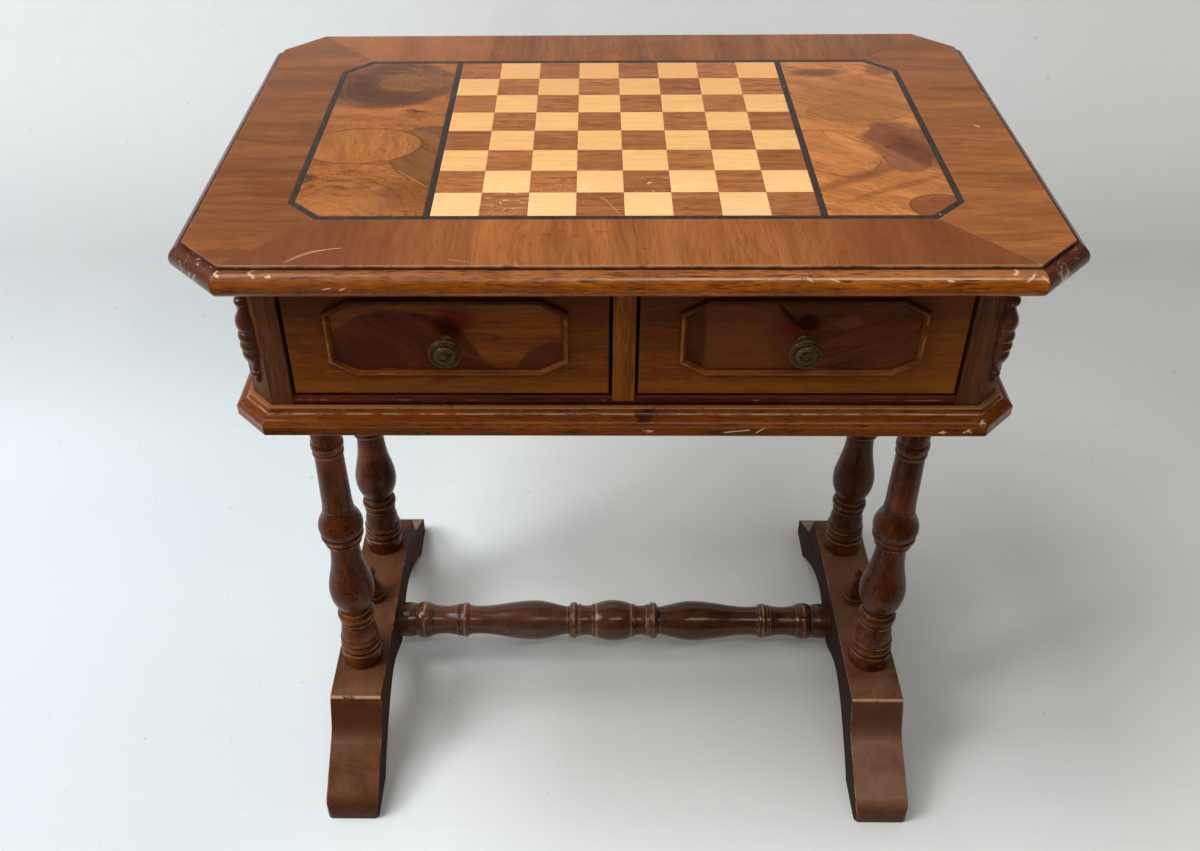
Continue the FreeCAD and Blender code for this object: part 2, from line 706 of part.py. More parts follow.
finial = turned([("plain", finial_tenon, finial_tenon_radius), ("plain", 3.5, 14.5),
                 ("plain", 1.2, 12.8), ("bead", 3.0, 13.0, 14.2),
                 ("curve", 31.0, 12.6, 12.2, 9.4, 6.0, 3.9, 3.3), ("plain", 1.0, 3.3),
                 ("bead", 7.0, 3.4, 5.4), ("dome", 2.8, 3.6)], foot_height - finial_tenon)
for side, name in ends("foot_finial"):
    save(name, finial.translated(Vector(side * trestle_x, 0, 0)))


def foot_shape():
    """Side view of a foot drawn in Y and Z: a flat deck for the legs, hollowed down to two sloping
    toes, and an arch between the pads that drops again in the middle, where the stretcher is let in."""
    pad, drop = foot_half - pad_length, foot_height - toe_height

    def toe(end):
        """From the floor at one end up the nose, the slope and the hollow to the deck."""
        nose = [(foot_half, 0), (foot_half, nose_face), (foot_half - nose_run / 4, 0.67 * nose_height),
                (foot_half - nose_run, nose_height)]
        hollow = [(deck_half + scoop_run, toe_height), (deck_half + 0.52 * scoop_run,
                                                        foot_height - 0.72 * drop),
                  (deck_half + 0.26 * scoop_run, foot_height - 0.35 * drop), (deck_half, foot_height)]
        return [(end * y, z) for y, z in nose], [(end * y, z) for y, z in hollow]

    spring = [(pad, 0), (pad - 16, 0.24 * arch_height), (pad - 32, 0.42 * arch_height)]
    crown = [(pad - 60, 0.71 * arch_height), (pad - 88, 0.92 * arch_height), (pad - 110, arch_height),
             (pad - 133, 0.94 * arch_height), (pad - 158, 0.73 * arch_height)]
    back_nose, back_hollow = toe(1)
    nose, hollow = toe(-1)
    under = [(-y, z) for y, z in crown] + [(0, arch_middle)] + crown[::-1] + [spring[2]]
    section = outline(
        lambda y, z: Vector(-foot_width / 2, y - foot_forward, z), (-foot_half, 0), (-pad, 0),
        [(-y, z) for y, z in spring[1:]], under, [spring[1], spring[0]], back_nose[0], back_nose[1],
        back_nose[2:], back_hollow[0], back_hollow[1:], (-deck_half, foot_height), hollow[-2::-1],
        nose[3], [nose[2], nose[1]])
    plan = box(-foot_width / 2, foot_width / 2, -foot_half - foot_forward, foot_half - foot_forward,
               0, foot_height)
    plan = soften(plan, toe_corner, lambda c, e: abs(c.z - foot_height / 2) < 0.01)
    return Part.Face(section).extrude(Vector(foot_width, 0, 0)).common(plan)


foot = foot_shape()
leg_mortises = [rod(0, sy * leg_y, foot_height - leg_tenon, foot_height,
                    leg_tenon_radius + round_fit) for sy in (-1, 1)]
finial_hole = rod(0, 0, foot_height - finial_tenon, foot_height, finial_tenon_radius + round_fit)
stretcher_mortise = Part.makeCylinder(stretcher_tenon_radius + round_fit, stretcher_tenon,
                                      Vector(foot_width / 2 - stretcher_tenon, 0, stretcher_z), X_AXIS)
left_foot = foot.cut(leg_mortises + [finial_hole, stretcher_mortise])
left_foot = left_foot.translated(Vector(-trestle_x, 0, 0))
save("foot_left", left_foot)
save("foot_right", mirrored(left_foot, X_AXIS))

for side, name in ends("leg_bearer"):
    bearer = box(side * trestle_x - bearer_width / 2, side * trestle_x + bearer_width / 2,
                 -bearer_half_y, bearer_half_y, bearer_bottom, case_bottom)
    sockets = [rod(side * trestle_x, sy * leg_y, bearer_bottom, bearer_bottom + bearer_tenon,
                   leg_tenon_radius + round_fit) for sy in (-1, 1)]
    save(name, bearer.cut(sockets + screw_holes(bearer_screws_at, bearer_bottom)))
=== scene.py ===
import math
import bpy
import bmesh
from mathutils import Matrix, Vector

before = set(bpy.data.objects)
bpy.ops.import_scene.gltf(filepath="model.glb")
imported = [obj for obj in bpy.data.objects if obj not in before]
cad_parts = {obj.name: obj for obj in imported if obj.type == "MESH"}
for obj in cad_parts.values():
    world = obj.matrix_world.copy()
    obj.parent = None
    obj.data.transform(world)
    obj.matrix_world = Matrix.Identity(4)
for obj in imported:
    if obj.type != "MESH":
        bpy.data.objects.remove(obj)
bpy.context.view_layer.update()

# The camera: a normal lens held above and in front of the table, looking down on the board.
# It is turned a little to the left, and the picture is cut slightly off its middle.
pitch, yaw, roll = math.radians(37.07), math.radians(-1.34), math.radians(-0.76)
ahead = Vector((math.sin(yaw) * math.cos(pitch), math.cos(yaw) * math.cos(pitch), -math.sin(pitch)))
level = Vector((math.cos(yaw), -math.sin(yaw), 0))
above = level.cross(ahead)
across = math.cos(roll) * level + math.sin(roll) * above
upward = -math.sin(roll) * level + math.cos(roll) * above
lens = bpy.data.cameras.new("table_camera")
lens.sensor_width = 36
lens.lens = 35.84
lens.shift_x, lens.shift_y = 0.0245, -0.0373
lens.clip_end = 50
camera = bpy.data.objects.new("table_camera", lens)
camera.matrix_world = Matrix.Translation((-0.02609, -1.02165, 1.20983)) @ \
    Matrix((across, upward, -ahead)).transposed().to_4x4()
bpy.context.scene.collection.objects.link(camera)
bpy.context.scene.camera = camera


# The floor and backdrop: one pale plastered sheet that runs back from under the table and turns
# up into the wall in a sweep close behind it. Its colour carries painted light: painted shade
# nearest the window, painted shadows right of the table and behind the legs, and a wall painted
# paler higher up. To glossy rays it is painted dark in front and above, a painted reflection of a
# dark room, and seen from behind, the sheet lets the table show.
def stain(red, green, blue):
    """An sRGB colour, 0 to 255, as the linear colour that a shader takes."""
    return tuple(((c / 255 + 0.055) / 1.055) ** 2.4 for c in (red, green, blue)) + (1,)


def add(tree, kind, wires=None, **settings):
    """Adds a node, sets it up, and fills its sockets with values or wires."""
    made = tree.nodes.new("ShaderNode" + kind)
    for name, value in settings.items():
        setattr(made, name, value)
    for key, value in (wires or {}).items():
        if isinstance(value, bpy.types.NodeSocket):
            tree.links.new(value, made.inputs[key])
        else:
            made.inputs[key].default_value = value
    return made


def send(tree, sockets, **wires):
    """Links each wire to the socket of its name."""
    for name, wire in wires.items():
        tree.links.new(wire, sockets[name.replace("_", " ")])


def maths(tree, operation, *values):
    return add(tree, "Math", dict(enumerate(values)), operation=operation).outputs[0]


def vector(tree, operation, *values):
    return add(tree, "VectorMath", dict(enumerate(values)), operation=operation).outputs[0]


def axes(tree, place):
    return add(tree, "SeparateXYZ", {0: place}).outputs


def times(tree, first, *others):
    """The product of masks, which is on only where they all are."""
    for other in others:
        first = maths(tree, "MULTIPLY", first, other)
    return first


def fade(tree, value, start, end):
    """0 at start, 1 at end, and smooth between them."""
    return add(tree, "MapRange", {0: value, 1: start, 2: end}, interpolation_type="SMOOTHSTEP").outputs[0]


def mix(tree, share, one, other):
    return add(tree, "Mix", {0: share, 6: one, 7: other}, data_type="RGBA").outputs[2]


def tinted(tree, colour, *rows):
    """The colour with shades laid over it in turn, each as far as its mask and its strength go."""
    for mask, strength, shade in rows:
        colour = mix(tree, maths(tree, "MULTIPLY", mask, strength), colour, stain(*shade))
    return colour


def noise(tree, place, scale, detail=3.0, rough=0.55, bend=0.0):
    return add(tree, "TexNoise", {"Vector": place, "Scale": scale, "Detail": detail, "Roughness": rough,
                                  "Distortion": bend}).outputs[0]


def turned(tree, place, angles=(0, 0, 0), scale=(1, 1, 1)):
    """The place, turned and stretched, so that a pattern lies the way the wood was cut."""
    return add(tree, "Mapping", {"Vector": place, "Scale": scale,
                                 "Rotation": [math.radians(a) for a in angles]}).outputs[0]


def new_material(name, roughness, **constants):
    """A material with its shader, and the wire that gives the place on the piece."""
    material = bpy.data.materials.new(name)
    material.use_nodes = True
    tree = material.node_tree
    shader = tree.nodes["Principled BSDF"]
    shader.inputs["Roughness"].default_value = roughness
    for socket, value in constants.items():
        shader.inputs[socket.replace("_", " ")].default_value = value
    return material, tree, shader, add(tree, "TexCoord").outputs["Object"]


bend_at, bend_radius, bend_steps = 0.25, 0.28, 12
run = [(-5.0, 0.0), (bend_at, 0.0)]
for step in range(1, bend_steps + 1):
    angle = step * math.pi / 2 / bend_steps
    run.append((bend_at + bend_radius * math.sin(angle), bend_radius - bend_radius * math.cos(angle)))
run.append((bend_at + bend_radius, 3.5))
under_feet = 0.0005
sheet = bmesh.new()
rims = [sheet.verts.new((-6, y, z - under_feet)) for y, z in run]
edges = [sheet.edges.new(pair) for pair in zip(rims, rims[1:])]
grown = bmesh.ops.extrude_edge_only(sheet, edges=edges)
bmesh.ops.translate(sheet, vec=(12, 0, 0),
                    verts=[v for v in grown["geom"] if isinstance(v, bmesh.types.BMVert)])
sheet.normal_update()
if sum(face.normal.z for face in sheet.faces) < 0:
    bmesh.ops.reverse_faces(sheet, faces=sheet.faces)
for face in sheet.faces:
    face.smooth = True
backdrop_mesh = bpy.data.meshes.new("backdrop")
sheet.to_mesh(backdrop_mesh)
sheet.free()
backdrop = bpy.data.objects.new("backdrop", backdrop_mesh)
bpy.context.scene.collection.objects.link(backdrop)
plaster, tree, shader, place = new_material("painted_plaster", 0.6)
clouds = noise(tree, place, 1.6, 4.0, 0.6)
speckle = noise(tree, place, 38.0, 5.0, 0.7)
scuffs = noise(tree, turned(tree, place, (0, 0, 62), (3, 90, 3)), 1.2, 2.0)
specks = fade(tree, noise(tree, place, 70.0, 1.0), 0.76, 0.80)
at = axes(tree, place)
# Painted shade: the floor and sweep nearest the window are painted darker, evening out the window's light.
painted_shade_near_window = times(tree, fade(tree, at[0], -0.10, -0.60), fade(tree, at[2], 0.28, 0.04),
                      fade(tree, at[1], -0.55, -0.25))
# Painted shadow: a darker patch on the sheet behind and between the legs.
painted_shadow_behind_legs = times(tree, fade(tree, at[0], -0.26, 0.08), fade(tree, at[0], 0.46, 0.22),
                    fade(tree, at[1], -0.36, -0.10), fade(tree, at[2], 0.75, 0.35))
wall = mix(tree, fade(tree, clouds, 0.35, 0.65), stain(211, 215, 216), stain(219, 222, 222))
# Painted light: the wall is painted paler the higher it rises.
wall = mix(tree, fade(tree, at[2], 0.14, 0.60), wall, stain(247, 249, 250))
# Laid over the sheet in turn: the painted shade nearest the window, a painted shadow that darkens and warms
# the sheet right of the table, the painted shadow behind the legs, then faint scuffs, specks and speckle.
wall = tinted(
    tree, wall, (painted_shade_near_window, 0.9, (196, 203, 207)), (fade(tree, at[0], 0.10, 0.75), 0.35, (206, 201, 193)),
    (painted_shadow_behind_legs, 0.42, (166, 160, 153)), (fade(tree, scuffs, 0.64, 0.74), 0.06, (170, 174, 176)),
    (specks, 0.25, (150, 142, 130)), (fade(tree, speckle, 0.45, 0.75), 0.06, (196, 200, 200)))
# Painted reflection: to glossy rays the sheet is painted near black in front of the table and up high,
# standing in for a dark room.
unlit = maths(tree, "MAXIMUM", fade(tree, at[1], -0.30, -0.50), fade(tree, at[2], 0.78, 1.0))
unlit = times(tree, add(tree, "LightPath").outputs["Is Glossy Ray"], unlit)
rough_skin = add(tree, "Bump", {"Strength": 0.15, "Distance": 0.001, "Height": speckle}).outputs[0]
send(tree, shader.inputs, Base_Color=mix(tree, unlit, wall, stain(20, 18, 16)), Normal=rough_skin)
from_behind = add(tree, "MixShader", {0: add(tree, "NewGeometry").outputs["Backfacing"], 1: shader.outputs[0],
                                      2: add(tree, "BsdfTransparent").outputs[0]}).outputs[0]
send(tree, tree.nodes["Material Output"].inputs, Surface=from_behind)
backdrop_mesh.materials.append(plaster)


# The light: a large soft window on the left and a little in front, a soft one overhead, a narrow
# lamp over the front that draws a line along every rounded edge, and an even room light.
def soft_light(name, at, towards, width, height, watts, colour):
    lamp = bpy.data.lights.new(name, "AREA")
    lamp.shape, lamp.size, lamp.size_y = "RECTANGLE", width, height
    lamp.energy, lamp.color = watts, colour
    holder = bpy.data.objects.new(name, lamp)
    holder.location = at
    holder.rotation_euler = (Vector(towards) - Vector(at)).to_track_quat("-Z", "Y").to_euler()
    bpy.context.scene.collection.objects.link(holder)


soft_light("window_light", (-4.65, -1.42, 4.4), (0, 0, 0.4), 2.6, 2.6, 298, (0.955, 0.985, 1.0))
soft_light("ceiling_light", (-2.4, -0.3, 6.2), (0, 0, 0.4), 2.0, 2.0, 148, (0.97, 0.99, 1.0))
soft_light("front_lamp", (0.4, -1.9, 2.9), (0, 0, 0.6), 1.8, 0.08, 17, (1.0, 0.99, 0.97))
room_strength, less_in_polish = 0.235, 0.205
room = bpy.data.worlds.new("room_light")
bpy.context.scene.world = room
room.use_nodes = True
sky = room.node_tree.nodes["Background"]
sky.inputs["Color"].default_value = (1.0, 0.945, 0.87, 1)
mirrored = times(room.node_tree, add(room.node_tree, "LightPath").outputs["Is Glossy Ray"], less_in_polish)
send(room.node_tree, sky.inputs, Strength=maths(room.node_tree, "SUBTRACT", room_strength, mirrored))
bpy.context.scene.view_settings.view_transform = "Standard"


# The veneered border: four bands laid across the edge, so that the grain runs out to the rim,
# mitred where they meet. Each band is a row of leaves cut from one walnut log, French polished.
def new_group(name, inputs, outputs, vectors=()):
    """A node group: its tree, the wires of its inputs and the sockets of its outputs."""
    tree = bpy.data.node_groups.new(name, "ShaderNodeTree")
    for label, value in inputs.items():
        kind = "Float" if isinstance(value, float) else "Vector"
        tree.interface.new_socket(
            label, in_out="INPUT", socket_type="NodeSocket" + kind).default_value = value
    for label in outputs + vectors:
        kind = "Vector" if label in vectors else "Float"
        tree.interface.new_socket(label, in_out="OUTPUT", socket_type="NodeSocket" + kind)
    return tree, tree.nodes.new("NodeGroupInput").outputs, tree.nodes.new("NodeGroupOutput").inputs


def use(tree, group, **wires):
    return add(tree, "Group", wires, node_tree=group).outputs


def jostled(tree, place, scale, detail, amount):
    """The place, pushed about by noise, so that what is drawn there wavers."""
    push = add(tree, "TexNoise", {"Vector": place, "Scale": scale, "Detail": detail}).outputs["Color"]
    push = vector(tree, "SUBTRACT", push, (0.5, 0.5, 0.5))
    push = add(tree, "VectorMath", {0: push, 3: amount}, operation="SCALE").outputs[0]
    return vector(tree, "ADD", place, push)


grain, given, out = new_group("wood_grain", {"Place": (0, 0, 0), "Width": 0.02, "Length": 0.25, "Wave": 0.01},
                              ("Figure", "Streaks", "Pores", "Lines"))
bent = jostled(grain, given["Place"], 7.0, 2.0, given["Wave"])
per_width = maths(grain, "DIVIDE", 1.0, given["Width"])
per_length = maths(grain, "DIVIDE", 1.0, given["Length"])
along = vector(grain, "MULTIPLY", bent,
               add(grain, "CombineXYZ", {0: per_length, 1: per_width, 2: per_width}).outputs[0])
pits = noise(grain, turned(grain, bent, (0, 0, 0), (52, 640, 640)), 1.0, 1.0)
flow = times(grain, noise(grain, along, 0.75, 2.0, 0.45), 17.0)
ring = fade(grain, maths(grain, "PINGPONG", flow, 0.5), 0.24, 0.04)
send(grain, out,
     Figure=fade(grain, noise(grain, along, 1.0, 4.0, 0.6), 0.28, 0.72),
     Streaks=fade(grain, noise(grain, along, 5.5, 3.0, 0.65), 0.25, 0.75),
     Pores=times(grain, fade(grain, pits, 0.56, 0.68),
                 fade(grain, noise(grain, along, 2.0, 2.0), 0.32, 0.60)),
     Lines=times(grain, ring, fade(grain, noise(grain, along, 2.6, 2.0), 0.30, 0.62)))

leaves, given, out = new_group("veneer_leaves", {"Along": 0.0, "Leaf": 0.1}, ("Tone", "Joint"))
count = maths(leaves, "DIVIDE", given["Along"], given["Leaf"])
from_joint = times(leaves, maths(leaves, "PINGPONG", count, 0.5), given["Leaf"])
send(leaves, out, Joint=fade(leaves, from_joint, 0.0007, 0.0002),
     Tone=add(leaves, "TexWhiteNoise", {"W": maths(leaves, "FLOOR", count)},
              noise_dimensions="1D").outputs["Value"])

scratches, given, out = new_group("fine_scratches", {"Place": (0, 0, 0), "Sparse": 0.6}, ("Scratches",))
first = noise(scratches, turned(scratches, given["Place"], (0, 0, 24), (7, 520, 7)), 1.0, 1.0)
second = noise(scratches, turned(scratches, given["Place"], (0, 0, -52), (9, 640, 9)), 1.0, 1.0)
marks = maths(scratches, "MAXIMUM", fade(scratches, first, 0.74, 0.80), fade(scratches, second, 0.74, 0.80))
handled = noise(scratches, given["Place"], 9.0, 2.0)
send(scratches, out, Scratches=times(scratches, marks, fade(scratches, handled, given["Sparse"], 0.8)))

age, given, out = new_group("edge_wear", {"Place": (0, 0, 0), "Radius": 0.0015, "Wear": 0.5},
                            ("Worn", "Grime"), ("Eased",))
eased = add(age, "Bevel", {"Radius": given["Radius"]}, samples=6).outputs[0]
facing = add(age, "VectorMath", {0: eased, 1: add(age, "NewGeometry").outputs["Normal"]},
             operation="DOT_PRODUCT").outputs["Value"]
# Hollows: darker where the surface is closed in nearby.
open_sky = add(age, "AmbientOcclusion", {"Distance": 0.006}, samples=6, only_local=True).outputs["AO"]
edge = times(age, fade(age, facing, 0.995, 0.90), fade(age, open_sky, 0.55, 0.85))
patchy = maths(age, "ADD", noise(age, given["Place"], 60.0, 4.0, 0.7), times(age, given["Wear"], 0.5))
send(age, out, Worn=times(age, edge, fade(age, patchy, 0.70, 0.86)), Grime=fade(age, open_sky, 0.75, 0.35),
     Eased=eased)


def toned(tree, lie, figure_share, streak_share):
    """How fair the wood is at each place, from its broad figure and its finer streaks."""
    return maths(tree, "ADD", times(tree, lie["Figure"], figure_share),
                 times(tree, lie["Streaks"], streak_share))


def drawn(tree, lie, tone, deep, fair, lines, line_depth, pores, pore_depth):
    """The colour of a cut of wood: from deep to fair by its tone, under its darker lines and pores."""
    return tinted(tree, mix(tree, tone, stain(*deep), stain(*fair)),
                  (lie["Lines"], lines, [line_depth * c for c in deep]),
                  (lie["Pores"], pores, [pore_depth * c for c in deep]))


def wood(name, deep, fair, turn=(0, 0, 0), width=0.02, length=0.25, wave=0.012, streaks=0.35, pores=0.35,
         lines=0.3, roughness=0.36, **constants):
    """A piece of wood: its material, tree, the place on it, and its colour and the wires of its grain."""
    material, tree, _, spot = new_material(name, roughness, **constants)
    lie = use(tree, grain, Place=turned(tree, spot, turn), Width=width, Length=length, Wave=wave)
    colour = drawn(tree, lie, toned(tree, lie, 1 - streaks, streaks), deep, fair, lines, 0.66, pores, 0.45)
    return material, tree, spot, colour, lie


def finish_with(material, *names):
    for name in names:
        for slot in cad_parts[name].material_slots:
            slot.material = material


def polish(node_name, material, tree, spot, colour, lie, gloss, radius=0.0012, wear=0.4, bare=(206, 160, 120),
           sparse=0.62, hollow_dark=0.7, worn=0.85):
    """Ages a material, with worn edges, darker hollows, fine scratches and uneven gloss, and puts it on."""
    old = use(tree, age, Place=spot, Radius=radius, Wear=wear)
    lines = use(tree, scratches, Place=spot, Sparse=sparse)["Scratches"]
    colour = tinted(tree, colour, (old["Grime"], hollow_dark, (26, 13, 8)), (lines, 0.35, bare),
                    (old["Worn"], worn, bare))
    smears = fade(tree, noise(tree, spot, 14.0, 4.0, 0.6), 0.3, 0.7)
    dull = maths(tree, "ADD", times(tree, smears, 0.14), gloss)
    dull = maths(tree, "ADD", dull, times(tree, maths(tree, "ADD", old["Worn"], lines), 0.2))
    height = maths(tree, "SUBTRACT", times(tree, lie["Streaks"], 0.3), lie["Pores"])
    height = maths(tree, "SUBTRACT", height, lines)
    skin = add(tree, "Bump", {"Strength": 0.12, "Distance": 0.0003, "Height": height, "Normal": old["Eased"]})
    send(tree, tree.nodes["Principled BSDF"].inputs, Base_Color=colour, Roughness=dull,
         Normal=skin.outputs[0])
    finish_with(material, node_name)


stroke, given, out = new_group(
    "drawn_stroke", {"Place": (0, 0, 0), "Start": 0.0, "End": 0.1, "Curve": (0, 0, 0), "Thick": 0.0004},
    ("Mark",))
at = axes(stroke, given["Place"])
bow = axes(stroke, given["Curve"])
part = add(stroke, "MapRange", {0: at[0], 1: given["Start"], 2: given["End"]}).outputs[0]
path = maths(stroke, "MULTIPLY_ADD", part, maths(stroke, "MULTIPLY_ADD", part, bow[2], bow[1]), bow[0])
ends = fade(stroke, maths(stroke, "MINIMUM", part, maths(stroke, "SUBTRACT", 1.0, part)), 0.0, 0.1)
off_path = maths(stroke, "ABSOLUTE", maths(stroke, "SUBTRACT", at[1], path))
send(stroke, out, Mark=times(stroke, ends, fade(stroke, off_path, given["Thick"],
                                                times(stroke, given["Thick"], 0.4))))


def scratch(tree, spot, colour, start, end, curve, thick=0.0004, shade=(226, 196, 160), strength=0.8):
    """One curved mark: from x to x, with y following curve = (at the start, slope, bow)."""
    mark = use(tree, stroke, Place=spot, Start=start, End=end, Curve=curve, Thick=thick)["Mark"]
    return tinted(tree, colour, (mark, strength, shade))


half_length, half_depth, clipped_sum = 0.3545, 0.2375, 0.554
for band, turn, axis, leaf, deep, fair in (
        ("front", 90, 0, 0.118, (118, 66, 29), (172, 103, 53)),
        ("back", 90, 0, 0.131, (100, 56, 26), (154, 90, 46)),
        ("left", 0, 1, 0.150, (94, 52, 25), (147, 87, 44)),
        ("right", 0, 1, 0.160, (114, 65, 32), (174, 108, 58))):
    material, tree, spot, colour, lie = wood(
        "border_" + band + "_veneer", deep, fair, (0, 0, turn), 0.026, 0.30, 0.03, streaks=0.36, pores=0.34,
        lines=0.20, Specular_IOR_Level=0.3)
    where = axes(tree, spot)
    leafed = use(tree, leaves, Along=where[axis], Leaf=leaf)
    colour = tinted(tree, colour, (leafed["Tone"], 0.30, (112, 62, 32)))
    if band == "front":
        ends = maths(tree, "MAXIMUM", fade(tree, where[0], -0.14, -0.25), fade(tree, where[0], 0.10, 0.22))
        front_edge = times(tree, fade(tree, where[1], -0.2364, -0.2370),
                           fade(tree, noise(tree, spot, 30.0, 4.0, 0.7), 0.36, 0.52))
        colour = tinted(tree, colour, (fade(tree, where[0], -0.120, -0.122), 0.34, (112, 60, 34)),
                        (ends, 0.68, (104, 54, 32)), (front_edge, 0.28, (210, 160, 112)))
        for knot_x, knot_y in ((-0.064, -0.191), (-0.052, -0.186), (-0.040, -0.193), (-0.020, -0.187),
                               (0.016, -0.213)):
            colour = scratch(tree, spot, colour, knot_x - 0.004, knot_x + 0.004, (knot_y, 0.003, -0.002),
                             0.0013, (98, 48, 24), 0.55)
        for start, end, curve, thick, strength in (
                (-0.267, -0.222, (-0.2345, 0.0473, -0.0240), 0.0004, 0.8),
                (-0.262, -0.236, (-0.2290, 0.0330, -0.0190), 0.0003, 0.8),
                (-0.140, -0.117, (-0.2285, -0.0040, -0.0010), 0.0003, 0.5)):
            colour = scratch(tree, spot, colour, start, end, curve, thick, strength=strength)
    if band == "right":
        colour = tinted(tree, colour, (fade(tree, where[1], 0.06, 0.22), 0.45, (96, 52, 30)))
        for start, start_y, slope in ((0.326, 0.009, -0.004), (0.355, -0.0432, -0.006)):
            colour = scratch(tree, spot, colour, start, start + 0.005, (start_y, slope, 0), 0.0012)
    if band == "back":
        colour = tinted(tree, colour, (fade(tree, where[0], -0.134, -0.137), 0.35, (160, 96, 52)))
        for curl in range(4):
            colour = scratch(tree, spot, colour, -0.052 + 0.016 * curl, 0.004 + 0.018 * curl,
                             (0.180, 0.014 + 0.012 * curl, 0.018 - 0.010 * curl), 0.0022, (88, 48, 25), 0.5)
    if band in ("back", "left"):
        colour = scratch(tree, turned(tree, spot, (0, 0, 90)), colour, -0.209, -0.170, (-0.284, 0.016, 0.012),
                         0.0006, (84, 44, 24), 0.7)
    colour = tinted(tree, colour, (leafed["Joint"], 0.22, (70, 38, 24)))
    reach = axes(tree, vector(tree, "ABSOLUTE", spot))
    rim = maths(tree, "MAXIMUM", maths(tree, "DIVIDE", reach[0], half_length),
                maths(tree, "DIVIDE", reach[1], half_depth))
    rim = maths(tree, "MAXIMUM", rim,
                maths(tree, "DIVIDE", maths(tree, "ADD", reach[0], reach[1]), clipped_sum))
    only_at_rim = maths(tree, "MULTIPLY_ADD", fade(tree, rim, 0.984, 0.992), 1.6, -1.0)
    polish("border_" + band, material, tree, spot, colour, lie, 0.26, wear=only_at_rim, sparse=0.60)


# The figured panels: a sheet each side of the board, pieced from cuts of burr and crotch walnut
# whose curved joints follow the figure. A dark swirl and an oval lie left, a red burr lies right.
patch, given, out = new_group(
    "veneer_patch", {"Place": (0, 0, 0), "Centre": (0, 0, 0), "Half": (0.05, 0.05, 1), "Turn": 0.0,
                     "Wobble": 0.004, "Soft": 0.05, "Grit": 26.0}, ("Inside", "Seam", "Rings"))
moved = jostled(patch, given["Place"], given["Grit"], 2.5, given["Wobble"])
moved = vector(patch, "SUBTRACT", moved, given["Centre"])
moved = add(patch, "VectorRotate", {"Vector": moved, "Angle": times(patch, given["Turn"], -1.0)},
            rotation_type="Z_AXIS").outputs[0]
moved = vector(patch, "DIVIDE", moved, given["Half"])
moved = vector(patch, "MULTIPLY", moved, (1, 1, 0))
reach = add(patch, "VectorMath", {0: moved}, operation="LENGTH").outputs["Value"]
rim = maths(patch, "ABSOLUTE", maths(patch, "SUBTRACT", reach, 1.0))
send(patch, out, Seam=fade(patch, rim, 0.035, 0.012),
     Inside=fade(patch, reach, maths(patch, "ADD", 1.0, given["Soft"]),
                 maths(patch, "SUBTRACT", 1.0, given["Soft"])),
     Rings=fade(patch, maths(patch, "PINGPONG", times(patch, reach, 7.0), 0.5), 0.24, 0.04))


def figure(tree, spot, deep, fair, turn, width, length=0.12, wave=0.03, lines=0.5):
    """The figure of one more cut of wood, for a piece laid into another."""
    cut = use(tree, grain, Place=turned(tree, spot, (0, 0, turn)), Width=width, Length=length, Wave=wave)
    return drawn(tree, cut, toned(tree, cut, 0.65, 0.35), deep, fair, lines, 0.62, 0.4, 0.5)


def lay(tree, spot, colour, centre, half, shade, strength=1.0, turn=0.0, wobble=0.004, soft=0.03, seam=0.0,
        rings=0.0, grit=26.0):
    """Lays one piece or mark over what is there, in a shade, a cut of wood or a wire, with its joint."""
    if isinstance(shade, tuple):
        shade = figure(tree, spot, *shade) if isinstance(shade[0], tuple) else stain(*shade)
    piece = use(tree, patch, Place=spot, Centre=centre + (0,), Half=half + (1,), Turn=math.radians(turn),
                Wobble=wobble, Soft=soft, Grit=grit)
    colour = mix(tree, times(tree, piece["Inside"], strength), colour, shade)
    if rings:
        curls = times(tree, piece["Rings"], fade(tree, noise(tree, spot, 34.0, 2.0), 0.35, 0.6))
        curls = times(tree, curls, times(tree, piece["Inside"], rings))
        colour = mix(tree, curls, colour, stain(52, 28, 18))
    if seam:
        colour = tinted(tree, colour, (piece["Seam"], seam, (78, 42, 24)))
    return colour


def lay_all(tree, spot, colour, *rows):
    for row in rows:
        colour = lay(tree, spot, colour, *row)
    return colour


